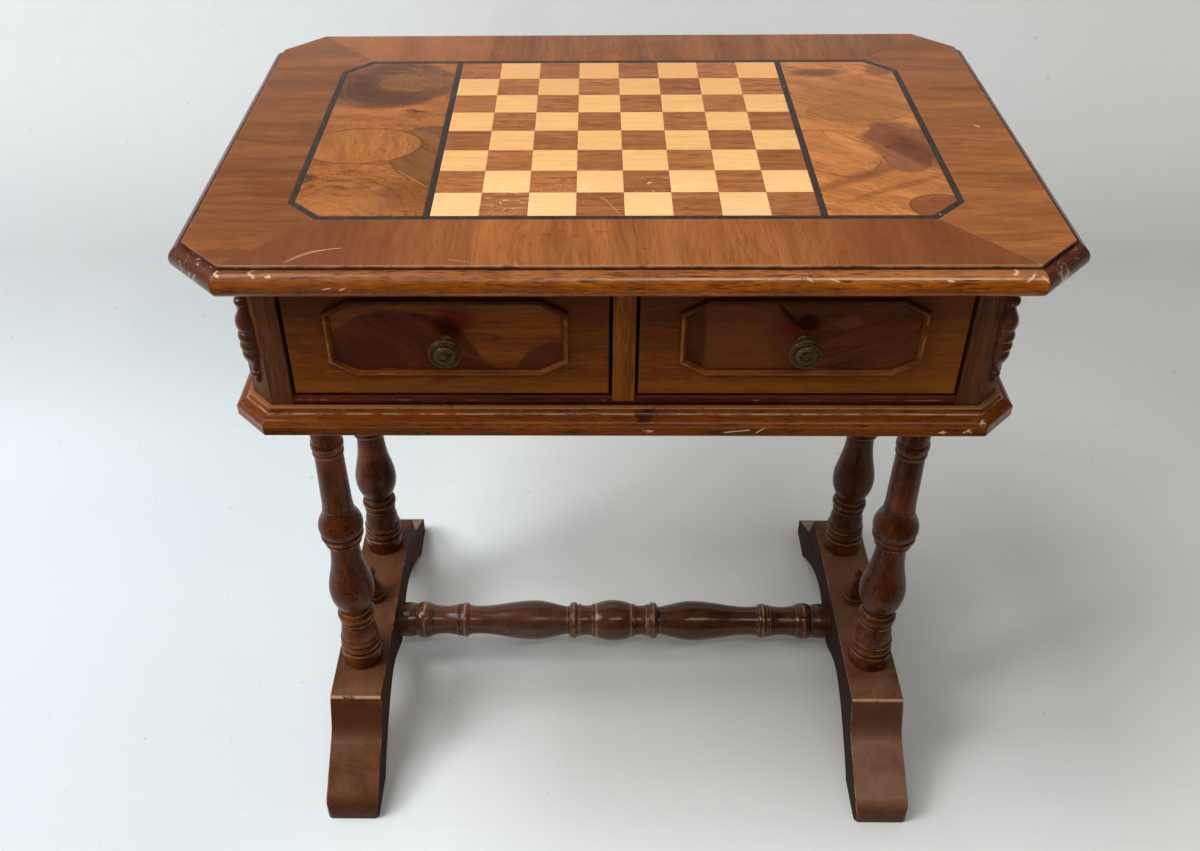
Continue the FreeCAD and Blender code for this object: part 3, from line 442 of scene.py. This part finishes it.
material, tree, spot, colour, lie = wood(
    "figured_left_veneer", (116, 62, 27), (180, 111, 56), (0, 0, 12), 0.014, 0.034, 0.05, streaks=0.45,
    pores=0.5, lines=0.42, Specular_IOR_Level=0.3)
swirl = ((76, 42, 25), (136, 84, 50), 24, 0.016, 0.045, 0.05, 0.5)
swirl_eye = ((104, 63, 34), (154, 98, 54), 5, 0.014, 0.05, 0.04, 0.5)
triangle = ((98, 60, 30), (140, 89, 48), 40, 0.010, 0.20, 0.02, 0.4)
oval = ((140, 83, 36), (176, 109, 54), 82, 0.012, 0.06, 0.04, 0.45)
colour = lay_all(
    tree, spot, colour,
    ((-0.231, 0.048), (0.062, 0.014), (180, 108, 54), 0.35, 4, 0.014, 0.5),
    ((-0.226, 0.106), (0.066, 0.056), swirl, 0.95, 10, 0.024, 0.10, 0, 0.5),
    ((-0.236, 0.076), (0.036, 0.014), (72, 40, 27), 0.55, -18, 0.014, 0.45),
    ((-0.199, 0.114), (0.042, 0.024), swirl_eye, 0.9, 6, 0.008, 0.05, 0.35, 0.35),
    ((-0.256, 0.112), (0.014, 0.020), (68, 38, 26), 0.5, 20, 0.010, 0.5),
    ((-0.197, 0.044), (0.011, 0.0024), (58, 32, 20), 0.8, -8, 0.012, 0.4, 0, 0, 90.0),
    ((-0.163, -0.048), (0.046, 0.060), triangle, 0.97, 24, 0.003, 0.02, 0.35),
    ((-0.236, -0.170), (0.064, 0.092), (150, 92, 44), 0.1, 8, 0.034, 0.3, 0, 0.5),
    ((-0.236, -0.030), (0.054, 0.036), oval, 1.0, 4, 0.003, 0.015, 0.6),
    ((-0.279, -0.093), (0.011, 0.009), (84, 36, 22), 0.75, 0, 0.006, 0.45),
    ((-0.176, -0.126), (0.044, 0.022), (104, 60, 32), 0.5, 20, 0.016, 0.5),
    ((-0.236, -0.142), (0.036, 0.020), (192, 121, 60), 0.32, 0, 0.012, 0.5))
colour = scratch(tree, turned(tree, spot, (0, 0, 45)), colour, -0.084, -0.042, (-0.1955, -0.0010, 0.0),
                 0.0005, (206, 156, 104), 0.6)
polish("figured_panel_left", material, tree, spot, colour, lie, 0.24, wear=-1.0)

material, tree, spot, colour, lie = wood(
    "figured_right_veneer", (146, 85, 42), (206, 132, 71), (0, 0, 32), 0.012, 0.12, 0.045, streaks=0.5,
    pores=0.6, lines=0.36, Specular_IOR_Level=0.3)
red_burr = figure(tree, spot, (106, 58, 38), (150, 92, 60), 60, 0.016, 0.06, 0.04, 0.3)
colour = lay_all(
    tree, spot, colour,
    ((0.222, 0.074), (0.056, 0.050), (140, 88, 50), 0.5, 0, 0.012, 0.4),
    ((0.226, 0.040), (0.050, 0.020), ((116, 70, 37), (160, 101, 54), 0, 0.010), 0.3, 8, 0.022, 0.10, 0.35),
    ((0.198, 0.134), (0.027, 0.010), (84, 54, 37), 0.75, 6, 0.012, 0.45),
    ((0.262, 0.138), (0.014, 0.014), (112, 60, 38), 0.7, 0, 0.008, 0.3),
    ((0.186, -0.048), (0.036, 0.046), (190, 120, 70), 0.22, 20, 0.022, 0.04, 0.5),
    ((0.208, -0.030), (0.010, 0.034), (206, 134, 78), 0.3, 38, 0.012, 0.05, 0.6),
    ((0.204, -0.092), (0.050, 0.007), (98, 56, 33), 0.55, 32, 0.010, 0.5),
    ((0.232, -0.112), (0.050, 0.004), (104, 58, 33), 0.45, 28, 0.008, 0.5),
    ((0.252, -0.024), (0.034, 0.040), red_burr, 0.9, 10, 0.030, 0.10, 0, 0, 34.0),
    ((0.250, -0.056), (0.022, 0.026), red_burr, 0.9, 10, 0.014, 0.05, 0.3),
    ((0.263, -0.046), (0.014, 0.034), (84, 44, 29), 0.6, 24, 0.014, 0.35),
    ((0.238, -0.036), (0.0022, 0.0016), (58, 30, 20), 0.9, 0, 0.001, 0.3),
    ((0.262, -0.146), (0.026, 0.021), ((112, 58, 32), (156, 90, 48), 0, 0.008, 0.05), 0.9, 0, 0.003, 0.03,
     0.8))
polish("figured_panel_right", material, tree, spot, colour, lie, 0.24, wear=-1.0)


# The board: 32 squares of pale maple and 32 of plain walnut, sawn from strips, so that the grain
# runs from side to side and every square differs a little from its neighbours.
scribble, given, out = new_group("scribble", {"Place": (0, 0, 0), "Tangle": 70.0, "Thick": 0.007}, ("Mark",))
loops = noise(scribble, given["Place"], given["Tangle"], 1.0, 0.5, 1.2)
off = maths(scribble, "ABSOLUTE", maths(scribble, "SUBTRACT", loops, 0.5))
broken = fade(scribble, noise(scribble, given["Place"], times(scribble, given["Tangle"], 1.3)), 0.42, 0.55)
send(scribble, out, Mark=times(scribble, broken, fade(scribble, off, given["Thick"],
                                                      times(scribble, given["Thick"], 0.4))))


def scrape(tree, spot, colour, centre, half, shade, strength, tangle=70.0, thick=0.007):
    """A patch of tangled scratches."""
    around = use(tree, patch, Place=spot, Centre=centre + (0,), Half=half + (1,), Wobble=0.01,
                 Soft=0.6)["Inside"]
    mark = use(tree, scribble, Place=spot, Tangle=tangle, Thick=thick)["Mark"]
    return tinted(tree, colour, (mark, times(tree, around, strength), shade))


squares_per_metre = 25
for name, deep, fair, lines, pores, pale, node_name in (
        ("maple_square", (212, 155, 93), (240, 190, 124), 0.16, 0.20, (255, 236, 206), "light_squares"),
        ("walnut_square", (108, 58, 28), (198, 124, 68), 0.75, 0.65, (216, 170, 124), "dark_squares")):
    material, tree, _, spot = new_material(name, 0.3, Specular_IOR_Level=0.3)
    cell = vector(tree, "FLOOR", vector(tree, "MULTIPLY", spot, (squares_per_metre,) * 3))
    chance = add(tree, "TexWhiteNoise", {"Vector": vector(tree, "MULTIPLY", cell, (1, 1, 0))},
                 noise_dimensions="3D").outputs
    lie = use(tree, grain, Place=vector(tree, "ADD", spot, chance["Color"]), Width=0.0038, Length=0.16,
              Wave=0.005)
    tone = maths(tree, "ADD", toned(tree, lie, 0.35, 0.42), times(tree, chance["Value"], 0.23))
    colour = drawn(tree, lie, tone, deep, fair, lines, 0.6, pores, 0.5)
    if name == "maple_square":
        nearer = axes(tree, spot)[1]
        colour = tinted(tree, colour, (fade(tree, nearer, -0.04, -0.16), 0.25, (250, 216, 164)),
                        (fade(tree, nearer, 0.00, 0.16), 0.48, (204, 138, 80)))
    colour = scrape(tree, spot, colour, (-0.041, -0.117), (0.026, 0.020), pale, 1.0, thick=0.010)
    colour = scrape(tree, spot, colour, (0.028, -0.108), (0.020, 0.018), pale, 0.9, thick=0.009)
    colour = scrape(tree, turned(tree, spot, (0, 0, 0), (0.25, 1, 1)), colour, (-0.025, -0.139),
                    (0.006, 0.020), pale, 0.9, 120.0, 0.02)
    colour = scratch(tree, spot, colour, -0.020, 0.002, (-0.127, -0.030, -0.018), 0.0009, pale, 0.6)
    polish(node_name, material, tree, spot, colour, lie, 0.26, wear=-1.0, bare=pale, sparse=0.52)

# The stringing: thin dyed black strips round the inlay and each side of the board, glued on edge
# and scraped flush. The dye has browned and the strips are chipped in a few places.
material, tree, spot, colour, lie = wood(
    "black_string", (42, 31, 27), (76, 59, 49), (0, 0, 60), 0.006, 0.05, 0.004, streaks=0.5, pores=0.3,
    Specular_IOR_Level=0.3)
chips = fade(tree, noise(tree, spot, 150.0, 3.0, 0.6), 0.70, 0.74)
colour = tinted(tree, colour, (chips, 0.7, (196, 160, 128)))
polish("black_stringing", material, tree, spot, colour, lie, 0.34, wear=-1.0)

# The core: a softwood board under the veneers, seen only as the thin dark rim under the border
# and from below, where it is bare wood with spilt stain near its edge.
material, tree, spot, colour, lie = wood(
    "core_board", (176, 132, 86), (214, 172, 120), (0, 0, 0), 0.03, 0.6, 0.02, pores=0.2, roughness=0.6)
out_of_edge = add(tree, "VectorMath", {0: vector(tree, "MULTIPLY", spot, (1, 1.42, 0))},
                  operation="LENGTH").outputs["Value"]
spilt = times(tree, fade(tree, out_of_edge, 0.30, 0.44), fade(tree, noise(tree, spot, 12.0, 3.0), 0.25, 0.60))
colour = tinted(tree, colour, (spilt, 0.8, (92, 54, 32)))
colour = mix(tree, fade(tree, axes(tree, spot)[2], 0.7225, 0.7235), colour, stain(64, 30, 14))
polish("top_core", material, tree, spot, colour, lie, 0.42, wear=0.5, bare=(196, 140, 96))


# The mouldings: mitred lengths round the top and round the plinth, red-brown where they look up
# and golden brown on the nose, under a thick gloss varnish that is chipped pale at the corners.
# On the top's front and back runs the paler upper colour is partly a painted reflection of the sky,
# and lighter lines along the top's front and the plinth are partly painted highlights.
def moulded(name, turn, ledge, nose, split, fold=False):
    """One run of moulding, its colour changing at a height, its grain along the run."""
    material, tree, _, spot = new_material(name, 0.3, Specular_IOR_Level=0.25)
    place = vector(tree, "ABSOLUTE", spot) if fold else spot
    lie = use(tree, grain, Place=turned(tree, place, (0, 0, turn)), Width=0.010, Length=0.08, Wave=0.006)
    tone = toned(tree, lie, 0.55, 0.45)
    # The upper colour is partly the wood's own and partly a painted reflection of the sky on the ledge.
    upper = mix(tree, tone, stain(*(0.74 * c for c in ledge)), stain(*ledge))
    lower = mix(tree, tone, stain(*(0.58 * c for c in nose)), stain(*nose))
    colour = mix(tree, fade(tree, axes(tree, spot)[2], split - 0.003, split + 0.001), lower, upper)
    patchy = fade(tree, noise(tree, spot, 22.0, 3.0, 0.6), 0.52, 0.70)
    dashes = noise(tree, turned(tree, place, (0, 0, turn), (60, 420, 420)), 1.0, 2.0)
    colour = tinted(tree, colour, (patchy, 0.45, (96, 42, 14)), (lie["Lines"], 0.4, (64, 28, 10)),
                    (fade(tree, dashes, 0.60, 0.68), 0.55, (58, 24, 8)), (lie["Pores"], 0.8, (38, 17, 8)))
    return material, tree, spot, colour, lie


def line_at_height(tree, spot, colour, height, thick, shade, strength=0.8, start=0.40, end=0.58):
    """A line at one height, broken here and there: an arris worn pale, a painted highlight along an edge, a
    dark line in a groove.
    """
    off = maths(tree, "ABSOLUTE", maths(tree, "SUBTRACT", axes(tree, spot)[2], height))
    line = times(tree, fade(tree, off, thick, 0.3 * thick),
                 fade(tree, noise(tree, spot, 46.0, 4.0, 0.7), start, end))
    return tinted(tree, colour, (line, strength, shade))


runs = (("front", 0, False), ("back", 0, False), ("sides", 90, False), ("corners", 45, True))
top_nose_height, plinth_nose_height = 0.7205, 0.5565
chip_places = ((-0.317, 0.7235), (-0.289, 0.7230), (-0.276, 0.7225), (-0.231, 0.7145), (-0.219, 0.7140),
               (0.139, 0.7210), (0.158, 0.7205), (0.246, 0.7200), (0.296, 0.7235), (0.307, 0.7215),
               (0.318, 0.7205))
for run_name, turn, fold in runs:
    ledge, nose = (((170, 103, 52), (176, 90, 6)) if run_name in ("front", "back")
                   else ((96, 50, 34), (98, 46, 16)))
    material, tree, spot, colour, lie = moulded("top_moulding_" + run_name, turn, ledge, nose,
                                                top_nose_height, fold)
    if run_name == "front":
        upright = turned(tree, spot, (-90, 0, 0))
        where = axes(tree, spot)
        # Painted highlight: a pale line along the top of the nose, stronger towards the right end.
        painted_highlight_share = times(tree, fade(tree, where[0], -0.12, 0.12), 0.55)
        colour = line_at_height(tree, spot, colour, 0.7212, 0.0009, (206, 164, 128), painted_highlight_share, 0.25, 0.45)
        # Painted sheen: the ledge is painted paler towards the right end.
        painted_sheen_on_ledge = times(tree, fade(tree, where[0], 0.10, 0.30),
                           fade(tree, where[2], top_nose_height, 0.7225))
        colour = tinted(tree, colour, (painted_sheen_on_ledge, 0.35, (172, 114, 72)),
                        (fade(tree, where[0], -0.10, -0.26), 0.42, (92, 46, 22)))
        for number, chip in enumerate(chip_places):
            colour = lay(tree, upright, colour, chip, (0.0036 - 0.0006 * (number % 3), 0.0006),
                         (216, 178, 144), 0.8, 15 * (number % 5) - 30, 0.003, 0.5, grit=420.0)
    if run_name == "corners":
        colour = scrape(tree, spot, colour, (-0.344, -0.232), (0.022, 0.022), (210, 192, 174), 0.85,
                        75.0, 0.009)
        colour = scrape(tree, spot, colour, (0.348, -0.234), (0.022, 0.022), (216, 190, 166), 0.85,
                        75.0, 0.009)
        colour = lay(tree, spot, colour, (0.340, -0.236), (0.006, 0.006), (216, 186, 158), 0.8, 0, 0.02, 0.5,
                     grit=200.0)
    polish("top_moulding_" + run_name, material, tree, spot, colour, lie, 0.18, 0.0014,
           0.45 if run_name == "corners" else 0.30, (196, 146, 106), sparse=0.56, worn=0.7)

for run_name, turn, fold in runs:
    material, tree, spot, colour, lie = moulded("plinth_" + run_name + "_moulding", turn, (130, 63, 14),
                                                (126, 61, 4), plinth_nose_height, fold)
    # Three lighter lines along the profile, each partly a worn arris and partly a painted highlight.
    colour = line_at_height(tree, spot, colour, 0.5685, 0.0007, (196, 142, 100), 0.7, 0.30, 0.45)
    colour = line_at_height(tree, spot, colour, 0.5638, 0.0005, (198, 160, 130), 0.6)
    colour = line_at_height(tree, spot, colour, 0.5570, 0.0006, (170, 88, 26), 0.5, 0.32, 0.50)
    if run_name == "front":
        upright = turned(tree, spot, (-90, 0, 0))
        for knot, size in (((0.020, 0.5630), (0.006, 0.004)), ((0.014, 0.5640), (0.003, 0.003)),
                           ((0.023, 0.5665), (0.004, 0.002))):
            colour = lay(tree, upright, colour, knot, size, (50, 18, 10), 0.8, 20, 0.010, 0.5, grit=120.0)
        for chip in ((0.022, 0.553), (0.274, 0.552), (0.296, 0.553), (0.308, 0.560)):
            colour = lay(tree, upright, colour, chip, (0.0032, 0.0009), (214, 176, 142), 0.75, 8, 0.008, 0.5,
                         grit=260.0)
        colour = scratch(tree, upright, colour, 0.086, 0.110, (0.5515, 0.0030, 0.0), 0.0006)
        colour = scratch(tree, upright, colour, 0.114, 0.122, (0.5510, 0.0060, 0.0), 0.0006)
    polish("plinth_" + run_name, material, tree, spot, colour, lie, 0.18, 0.0012,
           0.5 if run_name == "corners" else 0.3, (184, 124, 74), sparse=0.56, worn=0.5)


# The case: four clipped posts stained nearly black-brown, veneered boards between them, and the
# rail and divider that frame the drawers. Satin, and darker in the corners.
for post in ("corner_post_front_left", "corner_post_front_right", "corner_post_back_left",
             "corner_post_back_right"):
    parts = wood(post + "_stain", (62, 33, 13), (106, 60, 27), (0, 90, 0), 0.012, 0.20, 0.01, pores=0.5,
                 Specular_IOR_Level=0.1)
    polish(post, *parts, 0.46, wear=0.35, bare=(120, 88, 64))
case_walnut = ((82, 39, 4), (126, 67, 10))
for name, turn, shades in (
        ("case_side_left", (0, 0, 90), case_walnut), ("case_side_right", (0, 0, 90), case_walnut),
        ("case_back", (0, 0, 0), case_walnut), ("front_bottom_rail", (0, 0, 0), ((50, 15, 3), (88, 34, 8))),
        ("drawer_divider", (0, 90, 0), ((84, 40, 3), (140, 76, 8)))):
    material, tree, spot, colour, lie = wood(name + "_veneer", *shades, turn, 0.010, 0.22, 0.008, pores=0.6,
                                             lines=0.4, Specular_IOR_Level=0.1)
    if name == "front_bottom_rail":
        colour = line_at_height(tree, spot, colour, 0.5742, 0.0006, (158, 104, 72), 0.6, 0.50, 0.62)
    polish(name, material, tree, spot, colour, lie, 0.30, wear=0.35, bare=(160, 108, 70), worn=0.6)

# The split balusters: turnings sawn in half down their length and glued on the clipped corners,
# stained and varnished like the legs.
parts = wood("baluster_stain", (54, 25, 11), (102, 50, 22), (0, 90, 0), 0.010, 0.08, 0.006, pores=0.4,
             Specular_IOR_Level=0.45)
polish("split_balusters", *parts, 0.20, 0.0012, 0.5, (176, 132, 104))

# The drawer fronts: straight-grained walnut with the grain across, a raised frame of thin mitred
# beads with clipped corners, and a panel of pieced veneer inside it.
for side in ("left", "right"):
    material, tree, spot, colour, lie = wood(
        side + "_drawer_walnut", (76, 34, 3), (122, 62, 5), (0, 0, 0), 0.008, 0.14, 0.008, streaks=0.45,
        pores=0.5, lines=0.4, Specular_IOR_Level=0.1)
    where = axes(tree, spot)
    # Painted light: the upper part is painted darker, a painted shadow of the top's overhang, and the lower
    # part is painted lighter; the far right end is lightened too.
    colour = tinted(tree, colour, (fade(tree, where[2], 0.610, 0.694), 0.70, (60, 25, 3)),
                    (fade(tree, where[2], 0.604, 0.588), 0.25, (152, 84, 10)),
                    (fade(tree, where[0], 0.235, 0.275), 0.22, (138, 82, 26)))
    polish(side + "_drawer_front", material, tree, spot, colour, lie, 0.28, wear=0.2,
           bare=(170, 116, 72), worn=0.6)
    material, tree, spot, colour, lie = wood(
        side + "_drawer_bead", (74, 33, 4), (128, 66, 10), (0, 0, 0), 0.008, 0.05, 0.006, pores=0.5,
        Specular_IOR_Level=0.1)
    where = axes(tree, spot)
    crest = times(tree, fade(tree, where[1], -0.2110, -0.2119),
                  fade(tree, noise(tree, spot, 60.0, 3.0, 0.6), 0.42, 0.62))
    low_strip = fade(tree, where[2], 0.6115, 0.6085)
    colour = tinted(tree, colour, (low_strip, 0.5, (132, 72, 12)),
                    (crest, maths(tree, "MULTIPLY_ADD", low_strip, -0.25, 0.42), (158, 98, 44)))
    colour = mix(tree, fade(tree, where[1], -0.2100, -0.2085), colour, stain(56, 24, 4))
    # Painted shade: the frame's top strip is painted darker, under the top's overhang.
    colour = tinted(tree, colour, (fade(tree, where[2], 0.655, 0.676), 0.75, (46, 16, 3)))
    polish(side + "_drawer_frame", material, tree, spot, colour, lie, 0.30, 0.0006, 0.34, (186, 132, 84),
           hollow_dark=0.9, worn=0.6)

material, tree, spot, colour, lie = wood(
    "left_drawer_panel", (88, 40, 2), (126, 64, 4), (0, 0, 0), 0.010, 0.16, 0.01, streaks=0.4, pores=0.5,
    Specular_IOR_Level=0.1)
upright = turned(tree, spot, (-90, 0, 0))
dusky = figure(tree, upright, (54, 20, 3), (94, 40, 8), 35, 0.012)
colour = lay_all(
    tree, upright, colour,
    ((-0.190, 0.590), (0.076, 0.078), dusky, 0.9, 0, 0.006, 0.02, 0.2),
    ((-0.216, 0.596), (0.036, 0.044), (62, 28, 14), 0.55, 0, 0.006, 0.03),
    ((-0.121, 0.598), (0.030, 0.017), dusky, 0.85, -42, 0.004, 0.02),
    ((-0.052, 0.600), (0.040, 0.036), (70, 32, 12), 0.85, 0, 0.004, 0.02),
    ((-0.139, 0.658), (0.014, 0.013), (92, 10, 4), 0.75, 0, 0.006, 0.6),
    ((-0.146, 0.650), (0.012, 0.008), (40, 12, 6), 0.8, -35, 0.006, 0.5))
polish("left_drawer_veneer", material, tree, spot, colour, lie, 0.28, wear=0.0)

material, tree, spot, colour, lie = wood(
    "right_drawer_panel", (80, 36, 6), (114, 58, 12), (0, 0, 0), 0.010, 0.16, 0.01, streaks=0.4, pores=0.5,
    Specular_IOR_Level=0.1)
colour = lay_all(
    tree, turned(tree, spot, (-90, 0, 0)), colour,
    ((0.186, 0.646), (0.068, 0.052), ((58, 25, 8), (92, 45, 18), -20, 0.014), 0.85, 0, 0.008, 0.08),
    ((0.184, 0.655), (0.010, 0.006), (108, 56, 36), 0.4, 10, 0.006, 0.2),
    ((0.100, 0.640), (0.042, 0.060), (92, 46, 18), 0.45, 10, 0.006, 0.06),
    ((0.058, 0.640), (0.010, 0.040), (52, 22, 10), 0.7, 0, 0.004, 0.2),
    ((0.139, 0.649), (0.010, 0.009), (90, 12, 5), 0.65, 0, 0.006, 0.6),
    ((0.134, 0.662), (0.0155, 0.0024), (40, 14, 6), 0.85, -51, 0.003, 0.12),
    ((0.151, 0.654), (0.0105, 0.0085), (36, 11, 5), 0.85, -20, 0.006, 0.25))
polish("right_drawer_veneer", material, tree, spot, colour, lie, 0.28, wear=0.0)

# The knobs: brass turned on a lathe and chemically darkened. The turned rings are centred on each
# knob's own axis, and the high ones are rubbed bright.
knob_axis, rings_per_metre = (0.14775, 0, 0.6371), 560.0
material, tree, shader, spot = new_material("darkened_brass", 0.38, Metallic=0.65)
old = use(tree, age, Place=spot, Radius=0.0007, Wear=0.9)
patina = fade(tree, noise(tree, spot, 420.0, 4.0, 0.6), 0.35, 0.65)
off_axis = vector(tree, "SUBTRACT", vector(tree, "ABSOLUTE", spot), knob_axis)
off_axis = add(tree, "VectorMath", {0: vector(tree, "MULTIPLY", off_axis, (1, 0, 1))},
               operation="LENGTH").outputs["Value"]
turning = fade(tree, maths(tree, "PINGPONG", times(tree, off_axis, rings_per_metre), 0.5), 0.30, 0.08)
colour = tinted(tree, mix(tree, patina, stain(66, 48, 24), stain(116, 90, 54)), (turning, 0.65, (32, 22, 12)),
                (old["Worn"], 0.7, (190, 164, 118)), (old["Grime"], 0.8, (30, 22, 14)))
height = maths(tree, "SUBTRACT", times(tree, patina, 0.4), turning)
skin = add(tree, "Bump", {"Strength": 0.3, "Distance": 0.0003, "Height": height, "Normal": old["Eased"]})
send(tree, shader.inputs, Base_Color=colour, Normal=skin.outputs[0],
     Roughness=maths(tree, "ADD", times(tree, patina, 0.15), 0.34))
finish_with(material, "left_drawer_knob", "right_drawer_knob")

# The softwood inside: drawer sides, backs and bottoms, the partition, runners, bottom board and
# glue blocks, all planed pine left bare, browner where hands and drawers have rubbed.
from_front_to_back = ["left_drawer_side_inner", "left_drawer_side_outer", "right_drawer_side_inner",
                      "right_drawer_side_outer", "centre_partition", "drawer_runners", "top_glue_blocks"]
from_side_to_side = ["case_bottom", "left_drawer_back", "right_drawer_back", "left_drawer_bottom",
                     "right_drawer_bottom"]
for name in from_front_to_back + from_side_to_side:
    turn = (0, 0, 90) if name in from_front_to_back else (0, 0, 0)
    material, tree, spot, colour, lie = wood(name + "_pine", (178, 130, 82), (216, 174, 122), turn,
                                             0.016, 0.5, 0.012, pores=0.15, roughness=0.6)
    colour = tinted(tree, colour, (fade(tree, noise(tree, spot, 8.0, 3.0), 0.45, 0.75), 0.4, (150, 104, 64)))
    if name in ("centre_partition", "drawer_runners"):
        colour = mix(tree, fade(tree, axes(tree, spot)[1], -0.150, -0.185), colour, stain(38, 22, 12))
    polish(name, material, tree, spot, colour, lie, 0.5, wear=0.3, bare=(196, 156, 112))


# The trestle ends: turned legs and stretcher of beech, shaped feet, small finials and the bearers
# under the case, all stained a dark red-brown and varnished, rubbed pale on the rings and edges.
def stained_beech(name, turn, deep=(36, 15, 3), fair=(100, 48, 14), width=0.012, shine=0.15):
    material, tree, spot, colour, lie = wood(name + "_stain", deep, fair, turn, width, 0.16, 0.008,
                                             streaks=0.55, pores=0.6, lines=0.4, Specular_IOR_Level=shine)
    flecks = fade(tree, noise(tree, turned(tree, spot, turn, (1.0, 4.0, 4.0)), 46.0, 4.0, 0.7), 0.52, 0.64)
    glow = fade(tree, noise(tree, spot, 15.0, 3.0, 0.6), 0.54, 0.72)
    colour = tinted(tree, colour, (flecks, 0.6, [0.55 * c for c in deep]), (glow, 0.45, (126, 62, 18)))
    return material, tree, spot, colour, lie


ring_heights = (0.1225, 0.1300, 0.1390, 0.1682, 0.1790, 0.2940, 0.3036, 0.4190, 0.4290)
groove_heights = (0.1243, 0.1342, 0.1428, 0.1637, 0.1712, 0.1888, 0.2878, 0.2982, 0.3083, 0.3420, 0.4162,
                  0.4222)
for name in ("leg_front_left", "leg_front_right", "leg_back_left", "leg_back_right", "foot_finial_left",
             "foot_finial_right", "leg_bearer_left", "leg_bearer_right"):
    turn = (0, 0, 90) if "bearer" in name else (0, 90, 0)
    in_shade = {"deep": (36, 14, 4), "fair": (94, 42, 13)} if "back" in name else {}
    material, tree, spot, colour, lie = stained_beech(name, turn, **in_shade)
    if "front" in name or "back" in name:
        for height in ring_heights:
            colour = line_at_height(tree, spot, colour, height, 0.0016, (160, 104, 54), 0.55, 0.40, 0.62)
        for height in groove_heights:
            colour = line_at_height(tree, spot, colour, height, 0.0014, (20, 9, 5), 0.85, 0.0, 0.1)
    polish(name, material, tree, spot, colour, lie, 0.22, 0.0022, 0.72, (166, 112, 62), hollow_dark=0.95, worn=0.75)

material, tree, spot, colour, lie = stained_beech("stretcher", (0, 0, 0), (42, 19, 7), (88, 43, 17),
                                                  shine=0.38)
# Painted highlight: the left half is painted paler, where the window's light falls on it.
colour = tinted(tree, colour, (fade(tree, axes(tree, spot)[0], 0.06, -0.04), 0.12, (136, 96, 72)))
lengthways = turned(tree, vector(tree, "ABSOLUTE", spot), (0, -90, 0))
for ring_place in (0.2370, 0.1863, 0.0498, 0.0425, 0.0215):
    colour = line_at_height(tree, lengthways, colour, ring_place, 0.0018, (170, 122, 84), 0.6, 0.38, 0.60)
for groove_place in (0.2478, 0.2260, 0.1938, 0.1797, 0.0565, 0.0262):
    colour = line_at_height(tree, lengthways, colour, groove_place, 0.0016, (26, 12, 7), 0.85, 0.0, 0.1)
polish("stretcher", material, tree, spot, colour, lie, 0.16, 0.002, 0.62, (190, 136, 92), worn=0.8)

for name, inner_side, dust_and_sheen_colour, shade_strength, front_shade in (
        ("foot_left", 1, (116, 80, 58), 0.6, (62, 30, 12)),
        ("foot_right", -1, (148, 108, 82), 0.95, (78, 50, 36))):
    material, tree, spot, colour, lie = stained_beech(name, (0, 0, 90), (58, 28, 10), (102, 58, 27), 0.010,
                                                      0.12)
    faces = axes(tree, add(tree, "NewGeometry").outputs["Normal"])
    where = axes(tree, spot)
    # Dust and painted sheen: the faces that look up are painted paler, the right foot's more, as it lies in
    # the table's shadow.
    dust_and_sheen = times(tree, fade(tree, faces[2], 0.3, 0.8),
                  fade(tree, noise(tree, spot, 16.0, 4.0, 0.65), 0.22, 0.60))
    # Painted shade: the foot's inner side is painted dark; the same mask makes it rougher.
    inner_side_shade = fade(tree, times(tree, faces[0], inner_side), 0.5, 0.95)
    # The deck's front arris, painted pale: partly worn, partly a painted highlight.
    arris = times(tree, fade(tree, where[1], -0.1530, -0.1538), fade(tree, where[1], -0.1560, -0.1550),
                  fade(tree, noise(tree, spot, 60.0, 4.0, 0.7), 0.36, 0.50), fade(tree, faces[2], 0.2, 0.4))
    by_legs = times(tree, fade(tree, where[1], -0.148, -0.118), fade(tree, faces[2], 0.5, 0.9))
    # The faces towards the front get painted shade; the deck is darker round the legs.
    colour = tinted(
        tree, colour, (dust_and_sheen, 0.6, dust_and_sheen_colour), (inner_side_shade, shade_strength, (36, 20, 13)),
        (fade(tree, faces[1], -0.25, -0.85), 0.6, front_shade), (arris, 0.6, (204, 160, 128)),
        (by_legs, 0.4, (56, 28, 12)))
    polish(name, material, tree, spot, colour, lie, maths(tree, "MULTIPLY_ADD", inner_side_shade, 0.45, 0.26),
           0.0018, 0.50, (186, 136, 102), worn=0.8)

# The screws: plain steel, countersunk, up through the bearers and the glue blocks. They are dull,
# with a bloom of rust.
material, tree, shader, spot = new_material("old_steel", 0.4, Metallic=0.9)
rust = fade(tree, noise(tree, spot, 300.0, 4.0, 0.6), 0.45, 0.7)
send(tree, shader.inputs, Base_Color=mix(tree, rust, stain(150, 148, 142), stain(104, 82, 66)),
     Roughness=maths(tree, "ADD", times(tree, rust, 0.3), 0.3))
finish_with(material, "fixing_screws")
